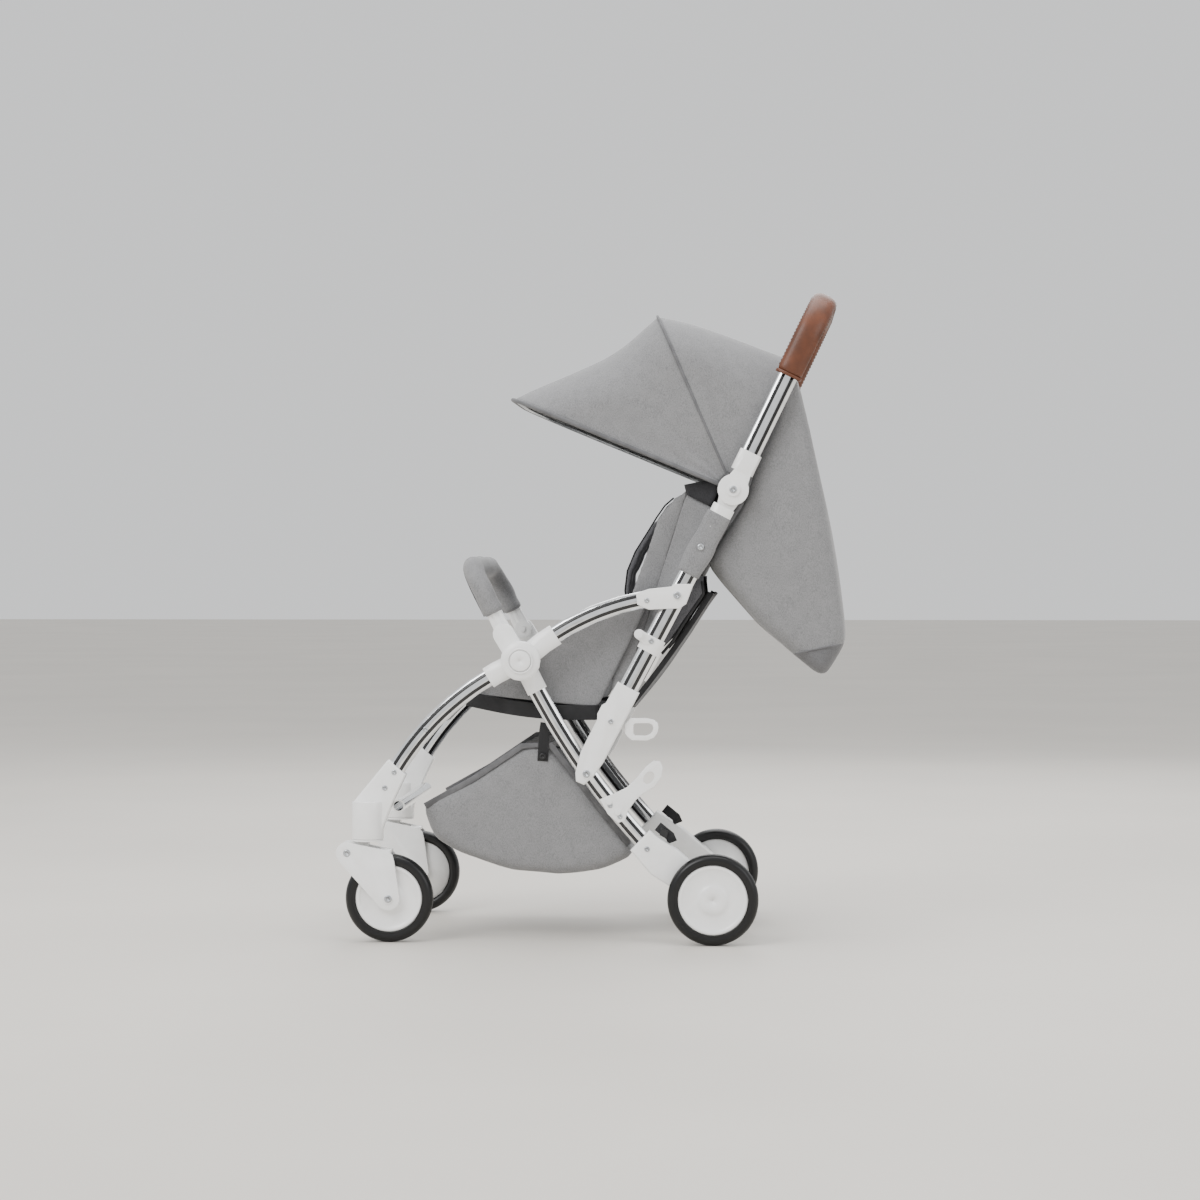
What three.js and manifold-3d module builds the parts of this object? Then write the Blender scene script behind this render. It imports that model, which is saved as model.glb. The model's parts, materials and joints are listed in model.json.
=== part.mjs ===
// A folding baby stroller: light oval-tube frame, swivelling sprung front wheels,
// reclining seat, swinging bumper bar, folding canopy and a handle that folds down.
// Millimetres, +Z up. The front of the stroller is -X, its left side is -Y, and the
// origin is on the ground under the middle of its bounding box.
import * as THREE from "three";
import { mergeVertices } from "three/addons/utils/BufferGeometryUtils.js";
import Module from "manifold-3d";

// ---------------------------------------------------------------- dimensions
const TUBE_Y = 199; // side plane of the front legs, armrests and back tubes
const TUBE_W = 28; // leg and armrest tube, height seen from the side
const TUBE_T = 15; // tube thickness across the stroller
const TUBE_WALL = 1.8;
const BACK_TUBE_W = 31; // back tube, height seen from the side
const HANDLE_TUBE_W = 32;
const SHELL = 2.0; // moulded wall round a tube end
const GAP = 0.3; // running and seating clearance
const LAYER = TUBE_T + 4; // step from the front-leg plane in to the rear-leg plane
const LEG_Y = TUBE_Y - LAYER; // side plane of the rear legs
const SEAT_HALF = LEG_Y - 20; // half width of the seat

const REAR_WHEEL_R = 73;
const REAR_WHEEL_W = 28;
const REAR_WHEEL_Y = TUBE_Y + 21;
const FRONT_WHEEL_R = 71;
const FRONT_WHEEL_W = 26;
const FRONT_WHEEL_Y = TUBE_Y + 3;
const RIM_DROP = 17; // tyre depth from tread to rim
const AXLE_R = 4;

const WHEELBASE = 522; // front axle to rear axle
const FRONT_AXLE_X = -328;
const HUB = [-115, 454]; // side hub where the legs and armrest meet
const HUB_R = 32;
const HINGE = [226, 728.5]; // handle and canopy hinge
const HINGE_R = 25;
const HANDLE_LENGTH = 338; // hinge to the middle of the hand grip
const HANDLE_ANGLE = 64.3;
const GRIP_W = 42;
const GRIP_T = 27;
const CASTER_X = -363; // swivel axis of the front wheels
const SWIVEL_TOP = 166; // running face between caster and leg bracket
const FORK_PIVOT = [CASTER_X - 31, 144];
const FORK_T = 5;
const BUMPER_REACH = 122; // bumper pivot to the middle of its cross bar
const BUMPER_ANGLE = 117.4;
const CANOPY_FRONT = 391; // canopy radius at its front edge
const CANOPY_TOP = 312; // canopy radius at its ridge
const CANOPY_REAR = 240;
const SKIN = 2; // cloth thickness of the shells
const SEAT_T = 22;
const PAD_T = 22;

// ---------------------------------------------------------------- materials
const surface = (color, roughness, metalness = 0) =>
  new THREE.MeshStandardMaterial({ color, roughness, metalness });
const alloy = surface(0xc9cbcd, 0.25, 0.9);
const white = surface(0xececea, 0.3);
const black = surface(0x1b1b1c, 0.5);
const rubber = surface(0x19191a, 0.45);
const greyCloth = surface(0x9a9a9a, 0.9);
const darkCloth = surface(0x55565a, 0.9);
const blackCloth = surface(0x17171a, 0.85);
const leather = surface(0x8b5230, 0.5);
const steel = surface(0xb9bbbd, 0.25, 1);

// ---------------------------------------------------------------- solid helpers
const wasm = await Module();
wasm.setup();

// A three.js geometry as a manifold solid, with doubled points and empty triangles removed.
function solid(geometry) {
  const bare = geometry.clone();
  for (const name of Object.keys(bare.attributes))
    if (name !== "position") bare.deleteAttribute(name);
  const merged = mergeVertices(bare, 1e-4);
  const index = merged.index.array;
  const kept = [];
  for (let i = 0; i < index.length; i += 3) {
    const [a, b, c] = [index[i], index[i + 1], index[i + 2]];
    if (a !== b && b !== c && c !== a) kept.push(a, b, c);
  }
  const build = (tris) =>
    new wasm.Manifold(
      new wasm.Mesh({
        numProp: 3,
        vertProperties: new Float32Array(merged.attributes.position.array),
        triVerts: new Uint32Array(tris),
      }),
    );
  const made = build(kept);
  if (made.volume() >= 0) return made;
  for (let i = 0; i < kept.length; i += 3)
    [kept[i + 1], kept[i + 2]] = [kept[i + 2], kept[i + 1]];
  return build(kept);
}

function geometryOf(made) {
  const mesh = made.getMesh();
  const geometry = new THREE.BufferGeometry();
  geometry.setAttribute(
    "position",
    new THREE.BufferAttribute(new Float32Array(mesh.vertProperties), 3),
  );
  geometry.setIndex(new THREE.BufferAttribute(new Uint32Array(mesh.triVerts), 1));
  geometry.computeVertexNormals();
  return geometry;
}

const join = (...pieces) =>
  geometryOf(pieces.map(solid).reduce((a, b) => a.add(b)));
const cut = (piece, ...tools) =>
  geometryOf(tools.map(solid).reduce((a, b) => a.subtract(b), solid(piece)));
const clean = (piece) => geometryOf(solid(piece));

function mirrored(geometry) {
  const copy = geometry.clone().scale(1, -1, 1);
  const index = copy.index.array;
  for (let i = 0; i < index.length; i += 3)
    [index[i + 1], index[i + 2]] = [index[i + 2], index[i + 1]];
  copy.computeVertexNormals();
  return copy;
}

// ---------------------------------------------------------------- plane helpers
const add = (a, b) => [a[0] + b[0], a[1] + b[1]];
const sub = (a, b) => [a[0] - b[0], a[1] - b[1]];
const times = (a, k) => [a[0] * k, a[1] * k];
const length = (a) => Math.hypot(a[0], a[1]);
const unit = (a) => times(a, 1 / length(a));
const left = (a) => [-a[1], a[0]];
const polar = (deg, r = 1) => [
  r * Math.cos((deg * Math.PI) / 180),
  r * Math.sin((deg * Math.PI) / 180),
];
// A point given along and across a line that starts at `from`.
const along = (from, dir, s, n = 0) => add(from, add(times(dir, s), times(left(dir), n)));

// A bowed side-view line from a to b, as n + 1 points [x, z].
function bowed(a, b, bow, n) {
  const mid = add(times(add(a, b), 0.5), times(left(unit(sub(b, a))), 2 * bow));
  const curve = new THREE.QuadraticBezierCurve(
    new THREE.Vector2(...a),
    new THREE.Vector2(...mid),
    new THREE.Vector2(...b),
  );
  return curve.getSpacedPoints(n).map((p) => [p.x, p.y]);
}
// The part of a line of points between two distances along it.
function portion(points, from, to) {
  const out = [];
  let run = 0;
  for (let i = 1; i < points.length; i++) {
    const [a, b] = [points[i - 1], points[i]];
    const d = length(sub(b, a));
    const at = (s) => add(a, times(sub(b, a), (s - run) / d));
    if (from >= run && from < run + d) out.push(at(from));
    if (run + d > from && run + d < to) out.push(b);
    if (to > run && to <= run + d) out.push(at(to));
    run += d;
  }
  return out.filter((p, i) => i === 0 || length(sub(p, out[i - 1])) > 0.5);
}
const run = (points) =>
  points.slice(1).reduce((s, p, i) => s + length(sub(p, points[i])), 0);
const nearest = (points, s) => portion(points, s, s + 1)[0];
const heading = (points, s) => unit(sub(nearest(points, s + 4), nearest(points, s - 4)));

// ---------------------------------------------------------------- shape helpers
// A path that keeps its own points and carries a profile without twist in one plane:
// the profile's x follows the plane's normal, its y lies in the plane.
class PlanePath extends THREE.CatmullRomCurve3 {
  constructor(points, normal) {
    super(points);
    this.planeNormal = normal.clone().normalize();
  }
  getSpacedPoints() {
    return this.points;
  }
  computeFrenetFrames() {
    const tangents = [], normals = [], binormals = [];
    const p = this.points;
    for (let i = 0; i < p.length; i++) {
      const t = new THREE.Vector3();
      if (i > 0) t.add(p[i].clone().sub(p[i - 1]).normalize());
      if (i < p.length - 1) t.add(p[i + 1].clone().sub(p[i]).normalize());
      t.normalize();
      tangents.push(t);
      normals.push(this.planeNormal.clone());
      binormals.push(t.clone().cross(this.planeNormal).normalize());
    }
    return { tangents, normals, binormals };
  }
}
const Y_AXIS = new THREE.Vector3(0, 1, 0);

function ovalPoints(w, h, n) {
  const k = Math.min(w, h) / 2;
  const out = [];
  for (let i = 0; i < n; i++) {
    const a = (2 * Math.PI * (i + 0.5)) / n;
    const c = Math.cos(a), s = Math.sin(a);
    out.push(
      new THREE.Vector2(
        k * c + Math.sign(c) * (w / 2 - k) * Math.min(1, Math.abs(c) * 2.2),
        k * s + Math.sign(s) * (h / 2 - k) * Math.min(1, Math.abs(s) * 1.15),
      ),
    );
  }
  return out;
}
// An oval profile: x across, y along; a wall makes it hollow.
function oval(x, y, wall = 0, n = 12) {
  const shape = new THREE.Shape(ovalPoints(x, y, n));
  if (wall > 0)
    shape.holes.push(new THREE.Path(ovalPoints(x - 2 * wall, y - 2 * wall, n)));
  return shape;
}
const swept = (shape, points, normal) =>
  new THREE.ExtrudeGeometry(shape, {
    steps: points.length - 1,
    bevelEnabled: false,
    extrudePath: new PlanePath(points, normal),
  });
// A side-view sweep at a fixed y. `t` is the size across the stroller, `w` the size seen.
const sideSweep = (t, w, points, y, wall = 0, n = 12) =>
  swept(
    oval(t, w, wall, n),
    points.map(([x, z]) => new THREE.Vector3(x, y, z)),
    Y_AXIS,
  );
// A flat piece: a side-view outline with thickness from y0 to y1, edges rounded by `round`.
function plate(outline, y0, y1, { round = 0 } = {}) {
  const given = outline instanceof THREE.Shape ? outline.extractPoints(5) : null;
  const turned = (points, clockwise) =>
    THREE.ShapeUtils.isClockWise(points) === clockwise ? points : [...points].reverse();
  const distinct = (points) =>
    points.filter((p, i) => p.distanceTo(points[(i + 1) % points.length]) > 1e-3);
  const rim = given ? distinct(given.shape) : outline.map((p) => new THREE.Vector2(...p));
  const shape = new THREE.Shape(turned(rim, true));
  for (const hole of given ? given.holes : [])
    shape.holes.push(new THREE.Path(turned(distinct(hole), false)));
  const geometry = new THREE.ExtrudeGeometry(shape, {
    depth: y1 - y0 - 2 * round,
    curveSegments: 5,
    bevelEnabled: round > 0,
    bevelThickness: round,
    bevelSize: round,
    bevelOffset: -round,
    bevelSegments: 1,
  });
  return geometry.rotateX(Math.PI / 2).translate(0, y1 - round, 0);
}
const disc = (c, r, y0, y1, n = 20) =>
  new THREE.CylinderGeometry(r, r, y1 - y0, n).translate(c[0], (y0 + y1) / 2, c[1]);
const post = (c, y, r, z0, z1, n = 20) =>
  new THREE.CylinderGeometry(r, r, z1 - z0, n).rotateX(Math.PI / 2).translate(c, y, (z0 + z1) / 2);
const ring = (c, r, hole, y0, y1, n = 16) => cut(disc(c, r, y0, y1, n), disc(c, hole, y0 - 1, y1 + 1, 12));
const box = (x0, x1, y0, y1, z0, z1) =>
  new THREE.BoxGeometry(x1 - x0, y1 - y0, z1 - z0).translate((x0 + x1) / 2, (y0 + y1) / 2, (z0 + z1) / 2);
const capsule = (a, b, r) => {
  const shape = new THREE.Shape();
  const t = Math.atan2(b[1] - a[1], b[0] - a[0]);
  shape.absarc(b[0], b[1], r, t - Math.PI / 2, t + Math.PI / 2, false);
  shape.absarc(a[0], a[1], r, t + Math.PI / 2, t + (3 * Math.PI) / 2, false);
  return shape;
};
// A U in the plane through `base` that leans at `deg` and spans the stroller, as 3-D points.
function hoop(base, deg, start, reach, halfWidth, corner, arc = 4) {
  const dir = polar(deg);
  const at = (s, y) => new THREE.Vector3(base[0] + dir[0] * s, y, base[1] + dir[1] * s);
  const half = [at(start, halfWidth), at((start + reach - corner) / 2, halfWidth)];
  for (let i = 0; i <= arc; i++) {
    const a = (i / arc) * (Math.PI / 2);
    half.push(
      at(reach - corner + corner * Math.sin(a), halfWidth - corner + corner * Math.cos(a)),
    );
  }
  return [...half, ...half.map((p) => new THREE.Vector3(p.x, -p.y, p.z)).reverse()];
}
const hoopNormal = (deg) => {
  const [x, z] = polar(deg);
  return new THREE.Vector3(-z, 0, x);
};
// A thin shell from an outer and an inner grid of points, closed along its four edges.
function shellOf(outer, inner) {
  const rows = outer.length, cols = outer[0].length;
  const pos = [...outer.flat(), ...inner.flat()].flatMap((p) => [p.x, p.y, p.z]);
  const o = (i, j) => i * cols + j;
  const n = (i, j) => rows * cols + i * cols + j;
  const index = [];
  const quad = (a, b, c, d) => index.push(a, b, c, a, c, d);
  for (let i = 0; i < rows - 1; i++)
    for (let j = 0; j < cols - 1; j++) {
      quad(o(i, j), o(i + 1, j), o(i + 1, j + 1), o(i, j + 1));
      quad(n(i, j), n(i, j + 1), n(i + 1, j + 1), n(i + 1, j));
    }
  for (let j = 0; j < cols - 1; j++) {
    quad(o(0, j), o(0, j + 1), n(0, j + 1), n(0, j));
    quad(o(rows - 1, j + 1), o(rows - 1, j), n(rows - 1, j), n(rows - 1, j + 1));
  }
  for (let i = 0; i < rows - 1; i++) {
    quad(o(i + 1, 0), o(i, 0), n(i, 0), n(i + 1, 0));
    quad(o(i, cols - 1), o(i + 1, cols - 1), n(i + 1, cols - 1), n(i, cols - 1));
  }
  const geometry = new THREE.BufferGeometry();
  geometry.setAttribute("position", new THREE.Float32BufferAttribute(pos, 3));
  geometry.setIndex(index);
  return geometry;
}

// ---------------------------------------------------------------- assembly group
const stroller = new THREE.Group();
function part(name, geometry, material) {
  const mesh = new THREE.Mesh(geometry, material);
  mesh.name = name;
  stroller.add(mesh);
}
function pair(name, geometry, material) {
  part(`${name}_right`, geometry, material);
  part(`${name}_left`, mirrored(geometry), material);
}

// ---------------------------------------------------------------- side lines
const REAR_AXLE = [FRONT_AXLE_X + WHEELBASE, REAR_WHEEL_R];
const FRONT_AXLE = [FRONT_AXLE_X, FRONT_WHEEL_R];
const LEG_FOOT = add(REAR_AXLE, [-109, 84]); // lower end of the rear leg tube
const LEG_TOE = [CASTER_X + 30, SWIVEL_TOP + 84]; // lower end of the front leg tube
const legLine = bowed(HUB, LEG_FOOT, -14, 6);
const frontLine = bowed(HUB, LEG_TOE, -26, 7);
const KNEE_RUN = run(legLine) * 0.585;
const KNEE = nearest(legLine, KNEE_RUN); // pivot of the sliding sleeve on the rear leg
const backDir = unit(sub(HINGE, add(KNEE, [-6, 0])));
const BACK_RUN = length(sub(HINGE, add(KNEE, [-6, 0])));
const backPoint = (s, n = 0) => along(add(KNEE, [-6, 0]), backDir, s, n);
const ELBOW_RUN = BACK_RUN * 0.629;
const ELBOW = backPoint(ELBOW_RUN); // pivot of the back tube on the armrest
const armLine = bowed(HUB, ELBOW, 24, 6);
const ARM_END = run(armLine) - 45;

// ---------------------------------------------------------------- frame tubes
const INNER = 26; // a tube starts this far from the hub's centre
const LEG_END = run(legLine);
const frontTube = (t, w, wall) =>
  sideSweep(t, w, portion(frontLine, INNER, run(frontLine)), TUBE_Y, wall);
const armTube = (t, w, wall) => sideSweep(t, w, portion(armLine, INNER, ARM_END), TUBE_Y, wall);
const legTube = (t, w, wall) => sideSweep(t, w, portion(legLine, INNER + 4, LEG_END), LEG_Y, wall);
const BACK_START = 24;
const BACK_END = BACK_RUN - HINGE_R - 10;
const backTube = (t, w, wall) =>
  sideSweep(t, w, [backPoint(BACK_START), backPoint(BACK_END)], TUBE_Y, wall);
const fit = 2 * GAP;
pair("front_leg", clean(frontTube(TUBE_T, TUBE_W, TUBE_WALL)), alloy);
pair("armrest_tube", clean(armTube(TUBE_T, TUBE_W, TUBE_WALL)), alloy);
pair("rear_leg", clean(legTube(TUBE_T, TUBE_W, TUBE_WALL)), alloy);
pair(
  "back_tube",
  cut(
    backTube(TUBE_T, BACK_TUBE_W, TUBE_WALL),
    disc(ELBOW, AXLE_R + GAP, TUBE_Y - TUBE_T, TUBE_Y + TUBE_T, 12),
  ),
  alloy,
);

// ---------------------------------------------------------------- side hub
const HUB_IN = TUBE_Y - TUBE_T / 2 - SHELL;
const HUB_OUT = TUBE_Y + TUBE_T / 2 + SHELL;
const EYE_IN = LEG_Y - TUBE_T / 2 - SHELL;
const EYE_OUT = HUB_IN - 0.5;
const BUMPER_PIVOT = add(HUB, [-28, 43]);
const socketT = TUBE_T + 2 * SHELL;
const socketW = TUBE_W + 8;
const capProfile = [
  [0, HUB_OUT - 1], [HUB_R, HUB_OUT - 1], [HUB_R, HUB_OUT + 6], [HUB_R - 4, HUB_OUT + 9.5],
  [18, HUB_OUT + 10.5], [16, HUB_OUT + 8.8], [14.5, HUB_OUT + 11.8], [0, HUB_OUT + 12.8],
].map((p) => new THREE.Vector2(...p));
pair(
  "hub",
  cut(
    join(
      disc(HUB, HUB_R - 2, HUB_IN, HUB_OUT, 20),
      sideSweep(socketT, socketW, portion(frontLine, 8, 60), TUBE_Y),
      sideSweep(socketT, socketW, portion(armLine, 8, 70), TUBE_Y),
      plate(capsule(add(HUB, [-6, 6]), BUMPER_PIVOT, 17), HUB_IN, HUB_OUT),
      disc(HUB, 7, EYE_IN - 5, HUB_IN + 2, 12),
      disc(HUB, 11, EYE_IN - 5, EYE_IN - 0.4, 12),
      disc(BUMPER_PIVOT, 5, EYE_IN - 2, HUB_IN + 2, 12),
      new THREE.LatheGeometry(capProfile, 20).translate(HUB[0], 0, HUB[1]),
    ),
    frontTube(TUBE_T + fit, TUBE_W + fit, 0),
    armTube(TUBE_T + fit, TUBE_W + fit, 0),
  ),
  white,
);
// The rear leg's eye turns on the hub's pin.
const eyeShape = join(
  disc(HUB, 26, EYE_IN, EYE_OUT, 24),
  sideSweep(EYE_OUT - EYE_IN, TUBE_W + 6, portion(legLine, 10, 56), (EYE_IN + EYE_OUT) / 2),
);
pair(
  "leg_socket",
  cut(
    eyeShape,
    disc(HUB, 7 + GAP, EYE_IN - 1, EYE_OUT + 1, 12),
    sideSweep(TUBE_T + fit, TUBE_W + fit, portion(legLine, INNER + 3.6, LEG_END), LEG_Y),
  ),
  white,
);

// ---------------------------------------------------------------- armrest elbow
const elbowOutline = [
  [-66, 3], [-46, 10], [-9, 14], [-5, 18], [26, 18], [14, -14], [4, -21], [-46, -23], [-64, -15],
].map((p) => add(ELBOW, p));
const elbowBlock = [[-66, 3], [-46, 10], [-30, 12], [-38, -23], [-46, -23], [-64, -15]].map((p) =>
  add(ELBOW, p),
);
const backAngle = (Math.atan2(backDir[1], backDir[0]) * 180) / Math.PI;
const leaned = (lean, s) => add(ELBOW, polar(backAngle - lean, s));
pair(
  "armrest_elbow",
  cut(
    join(
      plate(elbowOutline, HUB_OUT - 1.2, HUB_OUT + 3.5, { round: 1 }),
      plate(elbowOutline, HUB_IN - 3.5, HUB_IN + 1.2, { round: 1 }),
      // The block between the plates leaves room for the back tube as it leans back in the fold.
      cut(
        plate(elbowBlock, HUB_IN - 1, HUB_OUT + 1),
        ...[0, 4, 8, 12, 16, 19].map((lean) =>
          sideSweep(TUBE_T + fit, BACK_TUBE_W + fit, [leaned(lean, -90), leaned(lean, 0)], TUBE_Y),
        ),
      ),
      disc(ELBOW, AXLE_R, HUB_IN - 1, HUB_OUT + 5, 10),
      disc(ELBOW, 7, HUB_OUT + 3, HUB_OUT + 5.5, 10),
    ),
    armTube(TUBE_T + fit, TUBE_W + fit, 0),
  ),
  white,
);

// ---------------------------------------------------------------- sliding sleeve
const SLEEVE_RUN = 157; // knee pivot to the sleeve's top edge
const SLEEVE_W = 41;
const SLEEVE_IN = LEG_Y + TUBE_T / 2 + 1.6;
const SLEEVE_OUT = TUBE_Y + TUBE_T / 2 + 3.2;
const sleeveMid = (SLEEVE_IN + SLEEVE_OUT) / 2;
const sleeveTop = backPoint(SLEEVE_RUN);
const sleeveOutline = [
  backPoint(SLEEVE_RUN, SLEEVE_W / 2 - 1), backPoint(118, SLEEVE_W / 2), backPoint(112, SLEEVE_W / 2 + 4),
  backPoint(96, SLEEVE_W / 2 + 4), backPoint(88, SLEEVE_W / 2), backPoint(30, SLEEVE_W / 2 - 1),
  backPoint(-4, SLEEVE_W / 2 - 9), backPoint(-16, 4), backPoint(-15, -10), backPoint(6, -SLEEVE_W / 2 + 3),
  backPoint(30, -SLEEVE_W / 2), backPoint(SLEEVE_RUN, -SLEEVE_W / 2 + 1),
];
const sleeveBody = cut(
  join(
    plate(sleeveOutline, SLEEVE_IN, SLEEVE_OUT, { round: 2 }),
    disc(KNEE, 8, SLEEVE_OUT - 1, SLEEVE_OUT + 2, 12),
    disc(backPoint(96), 6, SLEEVE_OUT - 1, SLEEVE_OUT + 1.5, 12),
  ),
  sideSweep(TUBE_T + fit, BACK_TUBE_W + fit, [backPoint(18), backPoint(SLEEVE_RUN + 20)], TUBE_Y),
);
part("slide_sleeve_right", sleeveBody, white);
// The left sleeve also carries the pull loop of the fold lock.
const LOOP = backPoint(98, -SLEEVE_W / 2 - 10);
const earShape = join(
  plate(capsule(backPoint(98, -SLEEVE_W / 2 - 3.5), LOOP, 7.5), SLEEVE_IN, SLEEVE_IN + 5),
  sleeveBody,
);
part(
  "slide_sleeve_left",
  mirrored(cut(earShape, disc(LOOP, 3 + GAP, SLEEVE_IN - 1, SLEEVE_IN + 6, 14))),
  white,
);
// The pull loop's outline and its finger hole, from the pivot.
const loopShape = new THREE.Shape(
  [
    [-5, 7], [-1, 12], [4, 17], [30, 17], [41, 14.4], [47.2, 9], [48.4, 2], [46.4, -7], [40.6, -14.6], [30, -19], [6, -18.6], [0, -14], [-5, -8],
  ].map((p) => new THREE.Vector2(...add(LOOP, p))),
);
loopShape.holes.push(
  new THREE.Path(
    [[8, 6], [10.4, 8.6], [33, 9], [38.4, 6.6], [40.4, 1.4], [38.6, -4.6], [34.4, -9], [28, -11.2], [10.4, -10.8], [8, -8]]
      .reverse()
      .map((p) => new THREE.Vector2(...add(LOOP, p))),
  ),
);
part(
  "release_loop",
  mirrored(
    join(
      plate(loopShape, SLEEVE_IN + 5.4, SLEEVE_IN + 13),
      disc(LOOP, 3, SLEEVE_IN - 0.6, SLEEVE_IN + 7, 12),
    ),
  ),
  white,
);

// ---------------------------------------------------------------- lock stud and hook
const STUD_RUN = BACK_RUN * 0.455;
const studBand = cut(
  join(
    sideSweep(TUBE_T + 7, BACK_TUBE_W + 7, [backPoint(STUD_RUN - 13), backPoint(STUD_RUN + 13)], TUBE_Y),
    plate(
      capsule(backPoint(STUD_RUN + 4, 10), backPoint(STUD_RUN + 6, 25), 8),
      SLEEVE_OUT - 4,
      SLEEVE_OUT + 1,
    ),
    disc(backPoint(STUD_RUN + 6, 25), 6.5, SLEEVE_OUT - 6, SLEEVE_OUT + 9, 18),
  ),
  sideSweep(TUBE_T + fit, BACK_TUBE_W + fit, [backPoint(STUD_RUN - 30), backPoint(STUD_RUN + 30)], TUBE_Y),
);
part("lock_stud", mirrored(studBand), steel);

const HOOK_RUN = LEG_END * 0.775;
const hookAt = nearest(legLine, HOOK_RUN);
const hookShape = new THREE.Shape(
  [
    [-21, 12], [1, 21], [23, 32], [41, 50], [53, 65], [66, 75], [76, 74], [81, 64], [79, 50], [68, 33],
    [50, 22], [37, 11], [24, -7], [20, -22], [8, -26], [-8, -12],
  ].map((p) => new THREE.Vector2(...add(hookAt, p))),
);
hookShape.holes.push(
  new THREE.Path(
    ovalPoints(15, 21, 14)
      .map((p) => p.rotateAround(new THREE.Vector2(), -0.6).add(new THREE.Vector2(hookAt[0] + 58, hookAt[1] + 47)))
      .reverse(),
  ),
);
const HOOK_IN = LEG_Y + TUBE_T / 2 + GAP;
part(
  "fold_hook",
  mirrored(
    join(
      plate(hookShape, HOOK_IN, HOOK_IN + 4, { round: 0.8 }),
      disc(add(hookAt, [-6, 8]), 5, HOOK_IN + 3, HOOK_IN + 6, 10),
      disc(add(hookAt, [8, -9]), 5, HOOK_IN + 3, HOOK_IN + 6, 10),
    ),
  ),
  white,
);

// ---------------------------------------------------------------- handle hinge and handle
const hingeBack = (s, n = 0) => backPoint(BACK_RUN + s, n);
const SPLIT = TUBE_Y; // the two hinge discs meet here
pair(
  "hinge_socket",
  cut(
    join(
      sideSweep(TUBE_T + 5, BACK_TUBE_W + 6, [hingeBack(-70), hingeBack(-HINGE_R - 6)], TUBE_Y),
      disc(HINGE, HINGE_R, HUB_IN - 2, SPLIT - 0.5, 22),
      plate(
        [hingeBack(-40, 10), hingeBack(-4, 20), hingeBack(-4, -20), hingeBack(-40, -14)],
        HUB_IN - 1,
        SPLIT - 0.5,
      ),
      disc(HINGE, 6, SPLIT - 3, SPLIT + 14.5, 14),
      disc(HINGE, 11, SPLIT + 13, SPLIT + 16, 20),
      disc(HINGE, 4.5, HUB_IN - 20, HUB_IN, 12),
      disc(HINGE, 8, HUB_IN - 22, HUB_IN - 18.5, 10),
    ),
    backTube(TUBE_T + fit, BACK_TUBE_W + fit, 0),
  ),
  white,
);
const handleDir = polar(HANDLE_ANGLE);
const handlePoint = (s, n = 0) => along(HINGE, handleDir, s, n);
const handleNormal = hoopNormal(HANDLE_ANGLE);
const HANDLE_CORNER = 70;
const handlePath = hoop(HINGE, HANDLE_ANGLE, HINGE_R + 10, HANDLE_LENGTH, TUBE_Y, HANDLE_CORNER);
const handleBar = (x, y, wall, path) => swept(oval(x, y, wall, 12), path, handleNormal);
part("handle_bar", clean(handleBar(HANDLE_TUBE_W, TUBE_T, TUBE_WALL, handlePath)), alloy);
const handleEnd = (t, w, s0, s1) =>
  handleBar(w, t, 0, [s0, s1].map((s) => new THREE.Vector3(handlePoint(s)[0], TUBE_Y, handlePoint(s)[1])));
pair(
  "handle_socket",
  cut(
    join(
      handleEnd(TUBE_T + 5, HANDLE_TUBE_W + 6, HINGE_R + 6, 66),
      disc(HINGE, HINGE_R, SPLIT + 0.3, SPLIT + 12.5, 22),
      plate(
        [handlePoint(40, 10), handlePoint(4, 20), handlePoint(4, -20), handlePoint(40, -14)],
        SPLIT + 0.3,
        SPLIT + 9,
      ),
    ),
    disc(HINGE, 6 + GAP, SPLIT - 2, SPLIT + 20, 12),
    handleEnd(TUBE_T + fit, HANDLE_TUBE_W + fit, HINGE_R + 9.5, 90),
  ),
  white,
);
const gripPath = hoop(HINGE, HANDLE_ANGLE, 203, HANDLE_LENGTH, TUBE_Y, HANDLE_CORNER);
part(
  "hand_grip",
  cut(
    handleBar(GRIP_W, GRIP_T, 0, gripPath),
    handleBar(HANDLE_TUBE_W + fit, TUBE_T + fit, 0, [
      handlePath[0],
      ...gripPath.slice(1, -1),
      handlePath[handlePath.length - 1],
    ]),
  ),
  leather,
);

// ---------------------------------------------------------------- canopy
const RIB_R = 3.2;
const RIB_OUTER_Y = HUB_IN - 6; // side plane of the middle rib
const RIB_INNER_Y = RIB_OUTER_Y - 7.4; // side plane of the front rib
const CANOPY_HALF = HUB_IN - 0.6;
const FRONT_RIB_ANGLE = 157.4;
const TOP_RIB_ANGLE = 113.5;
const REAR_RIB_ANGLE = 70;
function rib(deg, y, reach, corner) {
  const tip = hoop(HINGE, deg, 9, reach, y, corner, 4);
  const bar = swept(oval(2 * RIB_R, 2 * RIB_R, 0, 6), tip, hoopNormal(deg));
  const holes = [1, -1].map((side) => disc(HINGE, 4.5 + GAP, side * y - 8, side * y + 8, 12));
  return cut(join(bar, ...[1, -1].map((s) => disc(HINGE, 10, s * y - 3.2, s * y + 3.2, 16))), ...holes);
}
part("canopy_rib_middle", rib(TOP_RIB_ANGLE, RIB_OUTER_Y, CANOPY_TOP - 8, 88), steel);
part("canopy_rib_front", rib(FRONT_RIB_ANGLE, RIB_INNER_Y, CANOPY_FRONT - 8, 88), steel);

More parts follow.
